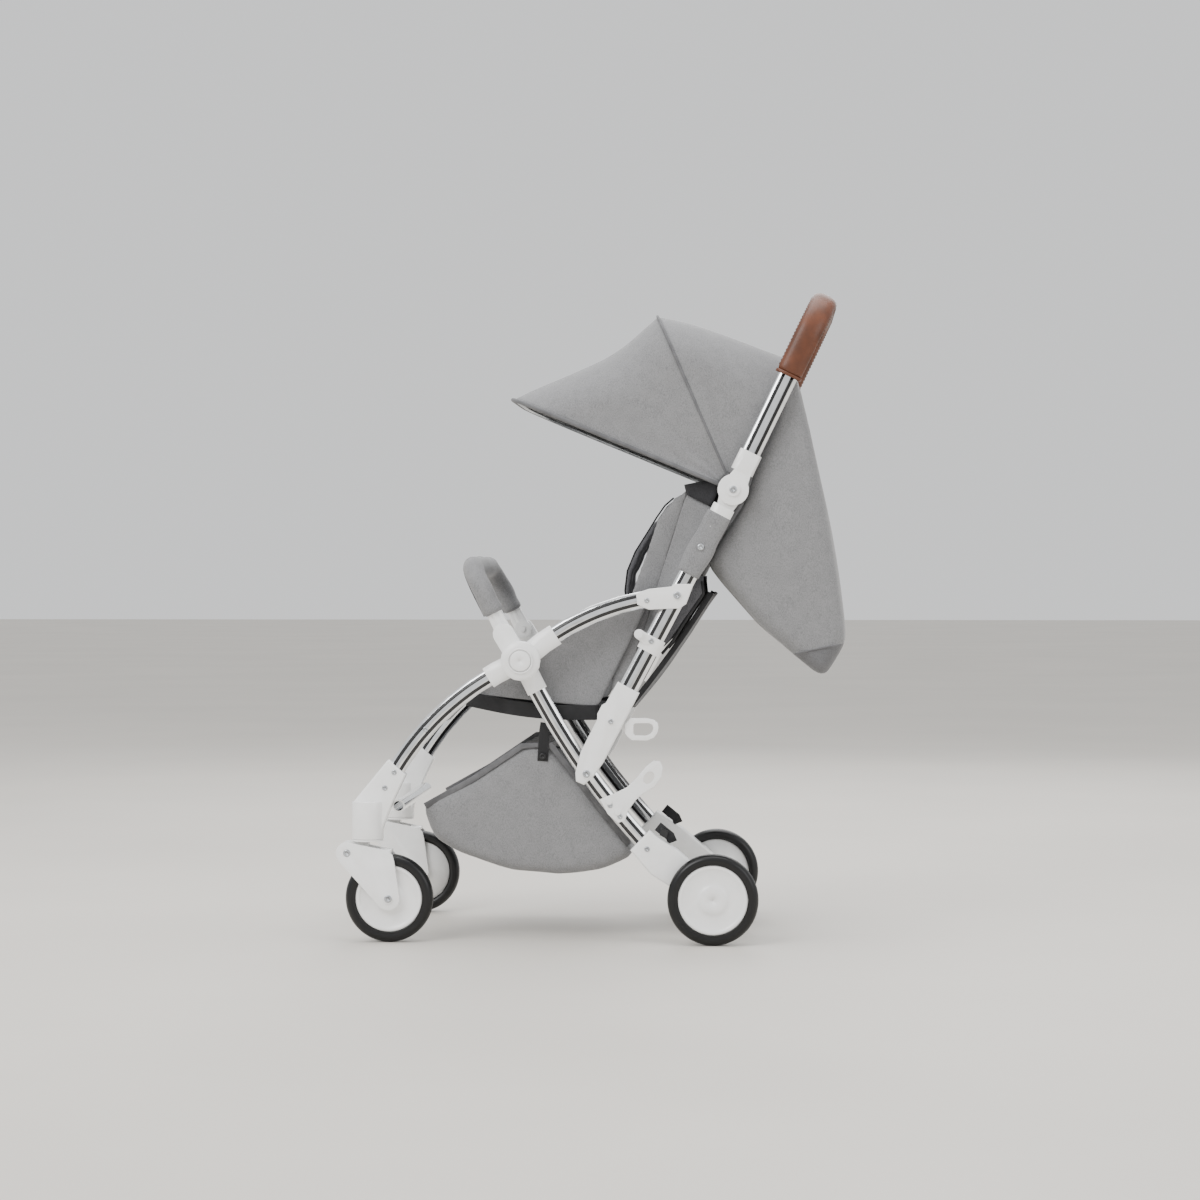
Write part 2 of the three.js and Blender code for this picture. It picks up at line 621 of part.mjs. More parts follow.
// The cover between two rib angles; it sags a little between them.
function canopyShell(fromDeg, toDeg, fromR, toR, sag, rows) {
  const grid = (inset) =>
    Array.from({ length: rows + 1 }, (_, i) => {
      const f = i / rows;
      const r = fromR + (toR - fromR) * f - sag * Math.sin(Math.PI * f) - inset;
      return hoop(HINGE, fromDeg + (toDeg - fromDeg) * f, 34, r, CANOPY_HALF - inset, 92 - inset, 5);
    });
  return clean(shellOf(grid(0), grid(SKIN)));
}
const FRONT_SAG = 34;
part(
  "canopy_front_panel",
  canopyShell(FRONT_RIB_ANGLE, TOP_RIB_ANGLE + 0.3, CANOPY_FRONT, CANOPY_TOP, FRONT_SAG, 5),
  greyCloth,
);
part(
  "canopy_rear_panel",
  canopyShell(TOP_RIB_ANGLE - 0.3, REAR_RIB_ANGLE, CANOPY_TOP, CANOPY_REAR, 14, 4),
  greyCloth,
);
// The deep cloth hood behind the seat back.
const hoodOutline = [
  [88, 208], [106, 172], [123, 106], [148, -21], [168, -130], [186.2, -244], [147, -306], [99, -265], [39, -210], [-20, -140],
].map((p) => add(HINGE, p));
const hoodFront = [[24, -60], [34, -20], [40, 30], [60, 100], [78, 188]].map((p) => add(HINGE, p));
const hoodInner = [
  [60, 260], [104, 206], [103, 168], [120.5, 105], [145.5, -21], [165.5, -130], [183.2, -243], [147, -302.6], [85, -250], [40, -330], [-80, -330], [-80, -60],
].map((p) => add(HINGE, p));
const HOOD_HALF = LEG_Y - 2;
part(
  "rear_hood",
  cut(
    plate([...hoodOutline, ...hoodFront], -HOOD_HALF, HOOD_HALF),
    plate(hoodInner, -HOOD_HALF + SKIN, HOOD_HALF - SKIN),
  ),
  greyCloth,
);

// ---------------------------------------------------------------- seat
const seatFront = add(HUB, [-98, -56]);
const seatRear = add(HUB, [123, -79]);
const seatDir = unit(sub(seatRear, seatFront));
const SEAT_RUN = length(sub(seatRear, seatFront));
const seatPoint = (s, n = 0) => along(seatFront, seatDir, s, n);
const seatSlab = plate(
  [seatPoint(0), seatPoint(0, -SEAT_T + 6), seatPoint(6, -SEAT_T), seatPoint(SEAT_RUN, -SEAT_T), seatPoint(SEAT_RUN)],
  -SEAT_HALF,
  SEAT_HALF,
);
const CUSHION_HALF = SEAT_HALF - 14;
part(
  "seat_cushion",
  clean(
    plate(
      [seatPoint(4, GAP), seatPoint(SEAT_RUN - 16, GAP), seatPoint(SEAT_RUN - 16, 20), seatPoint(SEAT_RUN - 30, 24), seatPoint(24, 24), seatPoint(4, 16)],
      -CUSHION_HALF,
      CUSHION_HALF,
    ),
  ),
  greyCloth,
);
const armTop = (s, n) => {
  const p = nearest(armLine, s);
  return add(p, times(left(heading(armLine, s)), n));
};
const panelOutline = [
  seatPoint(26, -2), seatPoint(SEAT_RUN - 4, -2), add(ELBOW, [-44, -100]), add(ELBOW, [-22, -40]), add(ELBOW, [-24, 0]),
  armTop(ARM_END - 40, 4), armTop(130, 4), armTop(70, 2), add(HUB, [8, 4]), add(HUB, [-40, -20]),
];
const PANEL_IN = SEAT_HALF - 4;
part(
  "seat_shell",
  join(
    seatSlab,
    plate(panelOutline, PANEL_IN, SEAT_HALF - 0.5),
    plate(panelOutline, -SEAT_HALF + 0.5, -PANEL_IN),
  ),
  blackCloth,
);

// The seat back: a board with forward wings, its pad, and the straps on it.
const RECLINE = seatPoint(SEAT_RUN + 30, 8);
const restDir = polar(72.5);
const restPoint = (s, n = 0) => along(RECLINE, restDir, s, n);
const REST_RUN = 368;
const WING_HALF = SEAT_HALF - 6;
const boardOutline = [restPoint(0, 0), restPoint(REST_RUN, 0), restPoint(REST_RUN, -5), restPoint(0, -5)];
const wingOutline = [
  restPoint(6, -4), restPoint(REST_RUN - 2, -4), restPoint(REST_RUN - 14, 10), restPoint(REST_RUN - 60, 27),
  restPoint(150, 34), restPoint(60, 34), restPoint(16, 12),
];
part(
  "backrest_board",
  join(
    plate(boardOutline, -WING_HALF, WING_HALF),
    plate(wingOutline, WING_HALF - 3, WING_HALF),
    plate(wingOutline, -WING_HALF, -WING_HALF + 3),
    disc(RECLINE, 7, -WING_HALF, WING_HALF, 10),
  ),
  darkCloth,
);
const PAD_HALF = WING_HALF - 4;
part(
  "backrest_pad",
  clean(
    plate(
      [restPoint(22, GAP), restPoint(REST_RUN - 8, GAP), restPoint(REST_RUN - 14, PAD_T - 6), restPoint(REST_RUN - 30, PAD_T), restPoint(34, PAD_T), restPoint(22, PAD_T - 6)],
      -PAD_HALF,
      PAD_HALF,
    ),
  ),
  greyCloth,
);
const strapPad = (y0, y1) => plate(
  [restPoint(150, PAD_T + 0.6), restPoint(310, PAD_T + 0.6), restPoint(310, PAD_T + 6), restPoint(300, PAD_T + 10), restPoint(160, PAD_T + 10), restPoint(150, PAD_T + 7)],
  y0,
  y1,
);
part(
  "harness_pads",
  join(
    strapPad(38, 84),
    strapPad(-84, -38),
    plate([restPoint(296, PAD_T + 0.6), restPoint(309, PAD_T + 0.6), restPoint(309, PAD_T + 3), restPoint(296, PAD_T + 3)], -50, 50),
  ),
  darkCloth,
);
part(
  "harness_buckle",
  join(
    plate([seatPoint(118, 24.6), seatPoint(180, 24.6), seatPoint(180, 36), seatPoint(118, 36)], -26, 26, { round: 3 }),
    plate([seatPoint(40, 24.6), seatPoint(122, 24.6), seatPoint(122, 29), seatPoint(40, 29)], -19, 19),
  ),
  black,
);
// Cloth that closes the seat below the back tubes, and the calf rest between the front legs.
const slingLow = add(RECLINE, [14, -8]);
const slingOutline = [
  slingLow, add(slingLow, [54, 60]), add(slingLow, [92, 118]), add(slingLow, [138, 190]),
  add(slingLow, [135.6, 192]), add(slingLow, [89.6, 120]), add(slingLow, [51.8, 62]), add(slingLow, [-2, 2]),
];
part("rear_sling", clean(plate(slingOutline, -WING_HALF - 2, WING_HALF + 2)), darkCloth);
const calfTop = add(seatFront, [-5, -4]);
const calfLow = nearest(frontLine, run(frontLine) * 0.68);
part(
  "calf_rest",
  clean(
    plate([calfTop, add(calfTop, [-18, 2]), add(calfLow, [-8, 14]), add(calfLow, [-2, 4]), add(calfLow, [6, 8])], -SEAT_HALF, SEAT_HALF),
  ),
  greyCloth,
);

// ---------------------------------------------------------------- bumper bar
const BAR_R = 10;
const barY = LEG_Y + 1;
const bumperNormal = hoopNormal(BUMPER_ANGLE);
const bumperPath = hoop(BUMPER_PIVOT, BUMPER_ANGLE, 9, BUMPER_REACH, barY, 58, 4);
const barEnds = [1, -1].flatMap((side) => [
  disc(BUMPER_PIVOT, 15, side > 0 ? EYE_IN + 2 : -EYE_OUT, side > 0 ? EYE_OUT : -EYE_IN - 2, 20),
]);
part(
  "bumper_bar",
  cut(
    join(swept(oval(2 * BAR_R - 3, 2 * BAR_R - 3, 0, 10), bumperPath, bumperNormal), ...barEnds),
    disc(BUMPER_PIVOT, 5 + GAP, -TUBE_Y, TUBE_Y, 10),
  ),
  white,
);
const coverPath = hoop(BUMPER_PIVOT, BUMPER_ANGLE, 36, BUMPER_REACH, barY, 58, 4);
part(
  "bumper_cover",
  cut(
    swept(oval(35, 35, 0, 10), coverPath, bumperNormal),
    swept(oval(2 * BAR_R - 3 + fit, 2 * BAR_R - 3 + fit, 0, 10), [bumperPath[0], ...coverPath.slice(1, -1), bumperPath.at(-1)], bumperNormal),
  ),
  greyCloth,
);

// ---------------------------------------------------------------- rear wheels, housings, axle
const HOUSING_IN = EYE_IN;
const HOUSING_OUT = REAR_WHEEL_Y - REAR_WHEEL_W / 2 - 2;
const footDir = heading(legLine, LEG_END - 5);
const foot = (s, n = 0) => along(LEG_FOOT, footDir, s, n);
pair(
  "rear_housing",
  cut(
    join(
      plate(
        [foot(-14, 20), foot(-10, -23), foot(40, -24), add(REAR_AXLE, [-10, -18]), add(REAR_AXLE, [12, -16]), add(REAR_AXLE, [20, 0]), add(REAR_AXLE, [10, 20]), foot(40, 34), foot(4, 24)],
        HOUSING_IN,
        HOUSING_OUT,
        { round: 2.5 },
      ),
      disc(REAR_AXLE, 18, HOUSING_IN, HOUSING_OUT, 20),
    ),
    sideSweep(TUBE_T + fit, TUBE_W + fit, portion(legLine, LEG_END - 60, LEG_END).concat([foot(0.4)]), LEG_Y),
    disc(REAR_AXLE, AXLE_R + GAP, 0, TUBE_Y + 60, 10),
  ),
  white,
);
part(
  "rear_axle",
  join(
    disc(REAR_AXLE, AXLE_R, -REAR_WHEEL_Y - REAR_WHEEL_W / 2 + 4, REAR_WHEEL_Y + REAR_WHEEL_W / 2 - 4, 10),
    disc(REAR_AXLE, 9, -HOUSING_IN + 0.5, HOUSING_IN - 0.5, 18),
  ),
  steel,
);
const PEDAL_HALF = 42;
part(
  "brake_pedal",
  cut(
    join(
      disc(REAR_AXLE, 14, -PEDAL_HALF + 6, PEDAL_HALF - 6, 18),
      plate(
        [[0, 13], [24, 15], [50, 7], [52, 2], [48, 1], [24, 8], [4, 4]].map((p) => add(REAR_AXLE, p)),
        -PEDAL_HALF,
        PEDAL_HALF,
      ),
    ),
    disc(REAR_AXLE, 9 + GAP, -PEDAL_HALF - 5, PEDAL_HALF + 5, 18),
  ),
  black,
);
const WHEEL_SIDES = 24;
// A rounded tyre and a dished wheel disc, both turned about the axle.
function tyre(c, r, w, y) {
  const h = w / 2, i = r - RIM_DROP;
  const profile = [
    [i, -h + 2], [r - 8, -h], [r - 2, -h + 4.5], [r, -h + 10], [r, h - 10], [r - 2, h - 4.5], [r - 8, h], [i, h - 2], [i, -h + 2],
  ].map((p) => new THREE.Vector2(...p));
  return clean(new THREE.LatheGeometry(profile, WHEEL_SIDES).translate(c[0], y, c[1]));
}
// `blind` closes the outer face over the axle's end.
function wheelDisc(c, r, w, y, blind) {
  const h = w / 2, i = r - RIM_DROP - GAP;
  const outer = [
    [0, -h + 2], [20, -h + 2], [22, -h + 5], [i, -h + 4], [i, h - 3], [i - 6, h - 2], [i - 12, h - 5], [24, h - 5], [21, h - 1], [0, h - 1],
  ].map((p) => new THREE.Vector2(...p));
  const bore = blind ? disc([0, 0], AXLE_R + GAP, -w, h - 3, 14) : disc([0, 0], AXLE_R + GAP, -w, w, 14);
  return cut(new THREE.LatheGeometry(outer, WHEEL_SIDES), bore).translate(c[0], y, c[1]);
}
pair("rear_tyre", tyre(REAR_AXLE, REAR_WHEEL_R, REAR_WHEEL_W, REAR_WHEEL_Y), rubber);
pair("rear_wheel_disc", wheelDisc(REAR_AXLE, REAR_WHEEL_R, REAR_WHEEL_W, REAR_WHEEL_Y, true), white);

// ---------------------------------------------------------------- front wheels and casters
const BRACKET_Y = FRONT_WHEEL_Y;
const toeDir = heading(frontLine, run(frontLine) - 5);
const toe = (s, n = 0) => along(LEG_TOE, toeDir, s, n);
const bracketBase = SWIVEL_TOP + 0.6;
pair(
  "caster_bracket",
  cut(
    join(
      post(CASTER_X, BRACKET_Y, 26, bracketBase, bracketBase + 60),
      plate(
        [toe(-40, -19), toe(-34, 18), toe(14, 22), [CASTER_X + 26, bracketBase + 20], [CASTER_X + 22, bracketBase + 4], [CASTER_X - 8, bracketBase + 4], [CASTER_X - 22, bracketBase + 60], toe(-8, -24)],
        HUB_IN - 2,
        HUB_OUT + 4,
        { round: 2 },
      ),
    ),
    sideSweep(TUBE_T + fit, TUBE_W + fit, portion(frontLine, run(frontLine) - 70, run(frontLine)).concat([toe(0.4)]), TUBE_Y),
    post(CASTER_X, BRACKET_Y, 6 + GAP, bracketBase - 5, bracketBase + 46, 12),
  ),
  white,
);
const CROSS = [CASTER_X + 48, SWIVEL_TOP + 52];
part("front_cross_tube", cut(disc(CROSS, 10, -HUB_IN + 2.5, HUB_IN - 2.5, 18), disc(CROSS, 8, -HUB_IN - 5, HUB_IN + 5, 18)), alloy);
const forkIn = FRONT_WHEEL_W / 2 + 2.5;
const forkOut = forkIn + FORK_T;
pair(
  "caster_swivel",
  join(
    post(CASTER_X, BRACKET_Y, 25, SWIVEL_TOP - 3, SWIVEL_TOP),
    post(CASTER_X, BRACKET_Y, 6, SWIVEL_TOP - 4, SWIVEL_TOP + 44, 12),
    plate(
      [[CASTER_X + 2, SWIVEL_TOP - 1], [CASTER_X - 24, SWIVEL_TOP - 1], add(FORK_PIVOT, [-11, 2]), add(FORK_PIVOT, [-8, -9]), add(FORK_PIVOT, [4, -11]), add(FORK_PIVOT, [16, 4]), [CASTER_X + 2, SWIVEL_TOP - 12]],
      BRACKET_Y - 7,
      BRACKET_Y + 7,
    ),
    disc(FORK_PIVOT, 4, BRACKET_Y - forkOut + 1, BRACKET_Y + forkOut - 1, 10),
  ),
  white,
);
const arcPoints = (c, r, from, to, n) =>
  Array.from({ length: n + 1 }, (_, i) => add(c, polar(from + ((to - from) * i) / n, r)));
const forkOutline = [
  ...arcPoints(FORK_PIVOT, 18.5, 60, 225, 6),
  ...arcPoints(FRONT_AXLE, 18.5, 225, 360, 5),
  add(FRONT_AXLE, [10, 60]),
  add(FRONT_AXLE, [7, 71]),
  add(FRONT_AXLE, [0, 77]),
  add(FRONT_AXLE, [-12, 80]),
];
pair(
  "caster_fork",
  cut(
    join(
      plate(forkOutline, BRACKET_Y + forkIn, BRACKET_Y + forkOut),
      plate(forkOutline, BRACKET_Y - forkOut, BRACKET_Y - forkIn),
      box(FRONT_AXLE[0] - 16, FRONT_AXLE[0] + 4, BRACKET_Y - forkIn - 2, BRACKET_Y + forkIn + 2, FRONT_AXLE[1] + FRONT_WHEEL_R + 3, FRONT_AXLE[1] + FRONT_WHEEL_R + 7.5),
      ring(FORK_PIVOT, 12, 4 + GAP, BRACKET_Y + 7.6, BRACKET_Y + forkIn + 2, 18),
      ring(FORK_PIVOT, 12, 4 + GAP, BRACKET_Y - forkIn - 2, BRACKET_Y - 7.6, 18),
      disc(FRONT_AXLE, AXLE_R, BRACKET_Y - forkOut, BRACKET_Y + forkOut, 10),
      disc(FRONT_AXLE, 8, BRACKET_Y + forkOut - 0.5, BRACKET_Y + forkOut + 2.5, 12),
      disc(FRONT_AXLE, 8, BRACKET_Y - forkOut - 2.5, BRACKET_Y - forkOut + 0.5, 12),
    ),
    disc(FORK_PIVOT, 4 + GAP, BRACKET_Y - 60, BRACKET_Y + 60, 10),
  ),
  white,
);
pair("front_tyre", tyre(FRONT_AXLE, FRONT_WHEEL_R, FRONT_WHEEL_W, FRONT_WHEEL_Y), rubber);
pair("front_wheel_disc", wheelDisc(FRONT_AXLE, FRONT_WHEEL_R, FRONT_WHEEL_W, FRONT_WHEEL_Y, false), white);

// ---------------------------------------------------------------- basket
const basketOutline = [
  [-166, -235], [-83, -193], [-2, -138], [44, -135], [180, -306], [176, -320], [131, -342], [57, -350], [-17, -344], [-105, -316], [-145, -290],
].map((p) => add(HUB, p));
const basketInner = [
  [-160, -160], [-163, -235], [-143, -288], [-104, -313.6], [-17, -341.6], [57, -347.6], [131, -339.6], [174, -318.6], [177, -306.6], [44.6, -139], [44, -60],
].map((p) => add(HUB, p));
const BASKET_HALF = LEG_Y - 14;
part(
  "basket",
  cut(plate(basketOutline, -BASKET_HALF, BASKET_HALF), plate(basketInner, -BASKET_HALF + SKIN, BASKET_HALF - SKIN)),
  greyCloth,
);

export default stroller;
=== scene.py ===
"""A folding baby stroller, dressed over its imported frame: tubes, wheels, cloth, padding and leather."""

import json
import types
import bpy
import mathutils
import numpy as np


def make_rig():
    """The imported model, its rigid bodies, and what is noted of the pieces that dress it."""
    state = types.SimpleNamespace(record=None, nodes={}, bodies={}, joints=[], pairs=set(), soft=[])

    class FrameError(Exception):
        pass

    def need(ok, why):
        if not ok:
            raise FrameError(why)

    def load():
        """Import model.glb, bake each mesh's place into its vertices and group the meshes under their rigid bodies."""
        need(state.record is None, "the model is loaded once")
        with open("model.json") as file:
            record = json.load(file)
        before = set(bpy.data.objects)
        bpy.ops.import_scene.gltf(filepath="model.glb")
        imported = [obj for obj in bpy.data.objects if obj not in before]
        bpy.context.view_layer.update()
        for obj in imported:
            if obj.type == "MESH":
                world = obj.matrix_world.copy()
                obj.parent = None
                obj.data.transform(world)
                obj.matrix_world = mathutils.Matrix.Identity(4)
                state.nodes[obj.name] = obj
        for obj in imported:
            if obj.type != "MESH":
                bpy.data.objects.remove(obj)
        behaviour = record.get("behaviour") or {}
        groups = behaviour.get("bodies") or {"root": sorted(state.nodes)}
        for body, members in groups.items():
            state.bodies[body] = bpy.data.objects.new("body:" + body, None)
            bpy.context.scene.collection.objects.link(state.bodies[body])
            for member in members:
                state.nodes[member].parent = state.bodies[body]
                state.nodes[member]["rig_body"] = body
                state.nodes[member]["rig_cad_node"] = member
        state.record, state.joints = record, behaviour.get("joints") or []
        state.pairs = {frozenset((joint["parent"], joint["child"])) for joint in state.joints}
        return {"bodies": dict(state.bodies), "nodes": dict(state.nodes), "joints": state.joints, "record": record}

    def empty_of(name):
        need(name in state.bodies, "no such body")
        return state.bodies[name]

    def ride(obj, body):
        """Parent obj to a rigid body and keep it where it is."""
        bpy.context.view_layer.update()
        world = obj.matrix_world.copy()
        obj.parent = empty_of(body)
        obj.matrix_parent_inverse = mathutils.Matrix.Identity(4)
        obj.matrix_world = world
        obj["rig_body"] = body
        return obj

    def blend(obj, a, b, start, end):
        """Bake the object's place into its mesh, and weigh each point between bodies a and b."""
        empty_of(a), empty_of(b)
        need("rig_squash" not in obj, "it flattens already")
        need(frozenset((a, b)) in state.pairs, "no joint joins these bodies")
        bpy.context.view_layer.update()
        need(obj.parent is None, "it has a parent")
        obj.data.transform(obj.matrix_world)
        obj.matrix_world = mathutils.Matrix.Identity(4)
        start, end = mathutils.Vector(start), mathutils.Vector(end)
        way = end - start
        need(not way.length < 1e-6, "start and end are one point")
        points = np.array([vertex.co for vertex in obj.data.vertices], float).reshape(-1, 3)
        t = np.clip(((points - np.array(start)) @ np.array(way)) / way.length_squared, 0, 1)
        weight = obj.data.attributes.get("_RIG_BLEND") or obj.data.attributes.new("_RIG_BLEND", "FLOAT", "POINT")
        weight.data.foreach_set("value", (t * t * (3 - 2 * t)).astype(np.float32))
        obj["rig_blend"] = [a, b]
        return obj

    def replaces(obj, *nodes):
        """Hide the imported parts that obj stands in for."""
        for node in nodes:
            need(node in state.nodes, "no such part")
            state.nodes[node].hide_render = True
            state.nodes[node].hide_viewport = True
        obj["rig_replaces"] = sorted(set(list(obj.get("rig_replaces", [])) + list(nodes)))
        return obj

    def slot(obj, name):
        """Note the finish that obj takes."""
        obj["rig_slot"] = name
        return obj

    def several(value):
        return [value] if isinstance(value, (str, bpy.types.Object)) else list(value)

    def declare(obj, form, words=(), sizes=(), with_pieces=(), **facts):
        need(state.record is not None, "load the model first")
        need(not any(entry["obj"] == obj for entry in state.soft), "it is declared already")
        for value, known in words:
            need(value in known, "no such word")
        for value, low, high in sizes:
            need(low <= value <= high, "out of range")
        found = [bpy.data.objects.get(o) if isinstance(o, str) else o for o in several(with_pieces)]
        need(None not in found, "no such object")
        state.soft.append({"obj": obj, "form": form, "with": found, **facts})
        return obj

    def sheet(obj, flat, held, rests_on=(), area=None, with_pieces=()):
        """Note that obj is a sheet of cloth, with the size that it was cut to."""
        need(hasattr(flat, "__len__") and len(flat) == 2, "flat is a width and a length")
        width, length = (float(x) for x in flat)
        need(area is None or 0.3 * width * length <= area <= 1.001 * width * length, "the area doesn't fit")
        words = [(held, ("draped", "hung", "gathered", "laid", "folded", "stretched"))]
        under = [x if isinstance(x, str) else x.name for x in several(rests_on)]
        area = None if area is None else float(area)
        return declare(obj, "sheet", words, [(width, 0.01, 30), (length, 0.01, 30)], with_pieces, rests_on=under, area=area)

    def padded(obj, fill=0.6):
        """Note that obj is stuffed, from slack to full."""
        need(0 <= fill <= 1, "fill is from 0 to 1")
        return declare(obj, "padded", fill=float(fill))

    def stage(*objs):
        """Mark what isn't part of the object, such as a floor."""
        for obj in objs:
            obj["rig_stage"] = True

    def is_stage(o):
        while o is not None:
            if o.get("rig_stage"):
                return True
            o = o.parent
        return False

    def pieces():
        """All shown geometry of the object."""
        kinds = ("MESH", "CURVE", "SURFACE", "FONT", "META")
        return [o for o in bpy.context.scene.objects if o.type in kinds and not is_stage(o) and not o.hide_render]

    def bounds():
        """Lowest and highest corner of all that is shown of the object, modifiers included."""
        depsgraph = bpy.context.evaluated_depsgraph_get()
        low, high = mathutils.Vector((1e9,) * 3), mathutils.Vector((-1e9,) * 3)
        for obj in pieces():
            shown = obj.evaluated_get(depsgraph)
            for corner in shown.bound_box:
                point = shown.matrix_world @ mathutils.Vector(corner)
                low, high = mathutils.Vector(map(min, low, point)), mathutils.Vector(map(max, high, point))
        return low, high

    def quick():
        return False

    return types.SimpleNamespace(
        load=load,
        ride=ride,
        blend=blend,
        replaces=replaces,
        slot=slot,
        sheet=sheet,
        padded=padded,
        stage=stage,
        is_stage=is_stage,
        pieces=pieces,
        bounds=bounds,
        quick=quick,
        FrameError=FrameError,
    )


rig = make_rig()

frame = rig.load()

import json
import logging
import math
from collections.abc import Callable, Sequence
from dataclasses import dataclass
from enum import Enum

import bmesh
import bpy
import numpy as np
from mathutils import Vector, noise

log = logging.getLogger("stroller")
MM = 0.001
SIDES = {"left": -1, "right": 1}
Point = tuple[float, float]


# ------------------------------------------------------------------ side lines, in mm
def polar(degrees: float, reach: float = 1.0) -> np.ndarray:
    """The side-view vector of that length and angle above the rearward direction."""
    return reach * np.array([math.cos(math.radians(degrees)), math.sin(math.radians(degrees))])


@dataclass(frozen=True)
class Line:
    """A side-view line from a to b, bowed to its left by `bow` at its middle."""

    a: Point
    b: Point
    bow: float = 0.0

    def points(self) -> np.ndarray:
        """The line as 61 points."""
        a, b = np.array(self.a), np.array(self.b)
        d = (b - a) / np.linalg.norm(b - a)
        middle = (a + b) / 2 + np.array([-d[1], d[0]]) * 2 * self.bow
        t = np.linspace(0, 1, 61)[:, None]
        return (1 - t) ** 2 * a + 2 * t * (1 - t) * middle + t**2 * b

    def run(self) -> float:
        """The line's length."""
        return float(np.linalg.norm(np.diff(self.points(), axis=0), axis=1).sum())

    def at(self, s: float, n: float = 0.0) -> np.ndarray:
        """A point along and across the line.

        Args:
            s: distance from the line's start.
            n: distance to its left.
        Returns:
            The side-view point.
        """
        p = self.points()
        d = np.concatenate([[0], np.cumsum(np.linalg.norm(np.diff(p, axis=0), axis=1))])
        at = lambda u: np.array([np.interp(u, d, p[:, k]) for k in (0, 1)])
        inside = min(max(s, 0), d[-1])
        heading = at(min(inside + 3, d[-1])) - at(max(inside - 3, 0))
        heading /= np.linalg.norm(heading)
        over = s - inside
        return at(s) + heading * over + np.array([-heading[1], heading[0]]) * n

    def span(self, s0: float, s1: float, count: int = 16, n: float = 0.0) -> list[np.ndarray]:
        """Evenly spaced points between two distances along the line."""
        return [self.at(s, n) for s in np.linspace(s0, s1, count)]


HUB = np.array([-115.0, 454.0])
ELBOW = np.array([136.63, 559.43])
HINGE = np.array([226.0, 728.5])
BACK_BASE = (-14.89, 272.79)
FRONT_LEG = Line(tuple(HUB), (-333, 250), -26)
ARMREST = Line(tuple(HUB), tuple(ELBOW), 24)
REAR_LEG = Line(tuple(HUB), (85, 157), -14)
BACK_TUBE = Line(BACK_BASE, tuple(HINGE))
HANDLE_ANGLE = 64.3
HANDLE_REACH = 338
HANDLE = Line(tuple(HINGE), tuple(HINGE + polar(HANDLE_ANGLE, HANDLE_REACH)))
SEAT = Line((-213, 398), (8, 375))
BACKREST_BASE = np.array([38.67, 379.85])
BACKREST_ANGLE = 72.5
BACKREST = Line(tuple(BACKREST_BASE), tuple(BACKREST_BASE + polar(BACKREST_ANGLE, 368)))
TUBE_Y, LEG_Y = 199.0, 180.0
TUBE_HALF = 7.5
TUBE_WIDTH, BACK_WIDTH, HANDLE_WIDTH = 28, 31, 32
OVAL_POWER = 2.6
SEAT_HALF = 160.0

# Where a bending piece leaves one body and reaches the other, in metres.
BEHIND_SEAT = ((0.06, 0, 0.38), (0.17, 0, 0.53))
ABOVE_SEAT = ((0.155, 0, 0.724), (0.198, 0, 0.745))
UNDER_SEAT = ((-0.06, 0, 0.16), (-0.27, 0, 0.2))


# ------------------------------------------------------------------ materials
def linear(colour: str) -> tuple[float, float, float, float]:
    """An sRGB hex colour as linear RGBA."""
    channels = [int(colour[i : i + 2], 16) / 255 for i in (1, 3, 5)]
    turned = [c / 12.92 if c <= 0.04045 else ((c + 0.055) / 1.055) ** 2.4 for c in channels]
    return (*turned, 1.0)


def add_node(tree: bpy.types.NodeTree, kind: str, links: dict | None = None, **settings) -> bpy.types.Node:
    """Adds one node.

    Args:
        tree: the node tree.
        kind: the node's type name.
        links: input name or number to the socket or constant it takes.
        settings: the node's own properties.
    Returns:
        The new node.
    """
    new = tree.nodes.new(kind)
    for key, value in settings.items():
        setattr(new, key, value)
    for socket, source in (links or {}).items():
        if isinstance(source, bpy.types.NodeSocket):
            tree.links.new(source, new.inputs[socket])
        else:
            new.inputs[socket].default_value = source
    return new


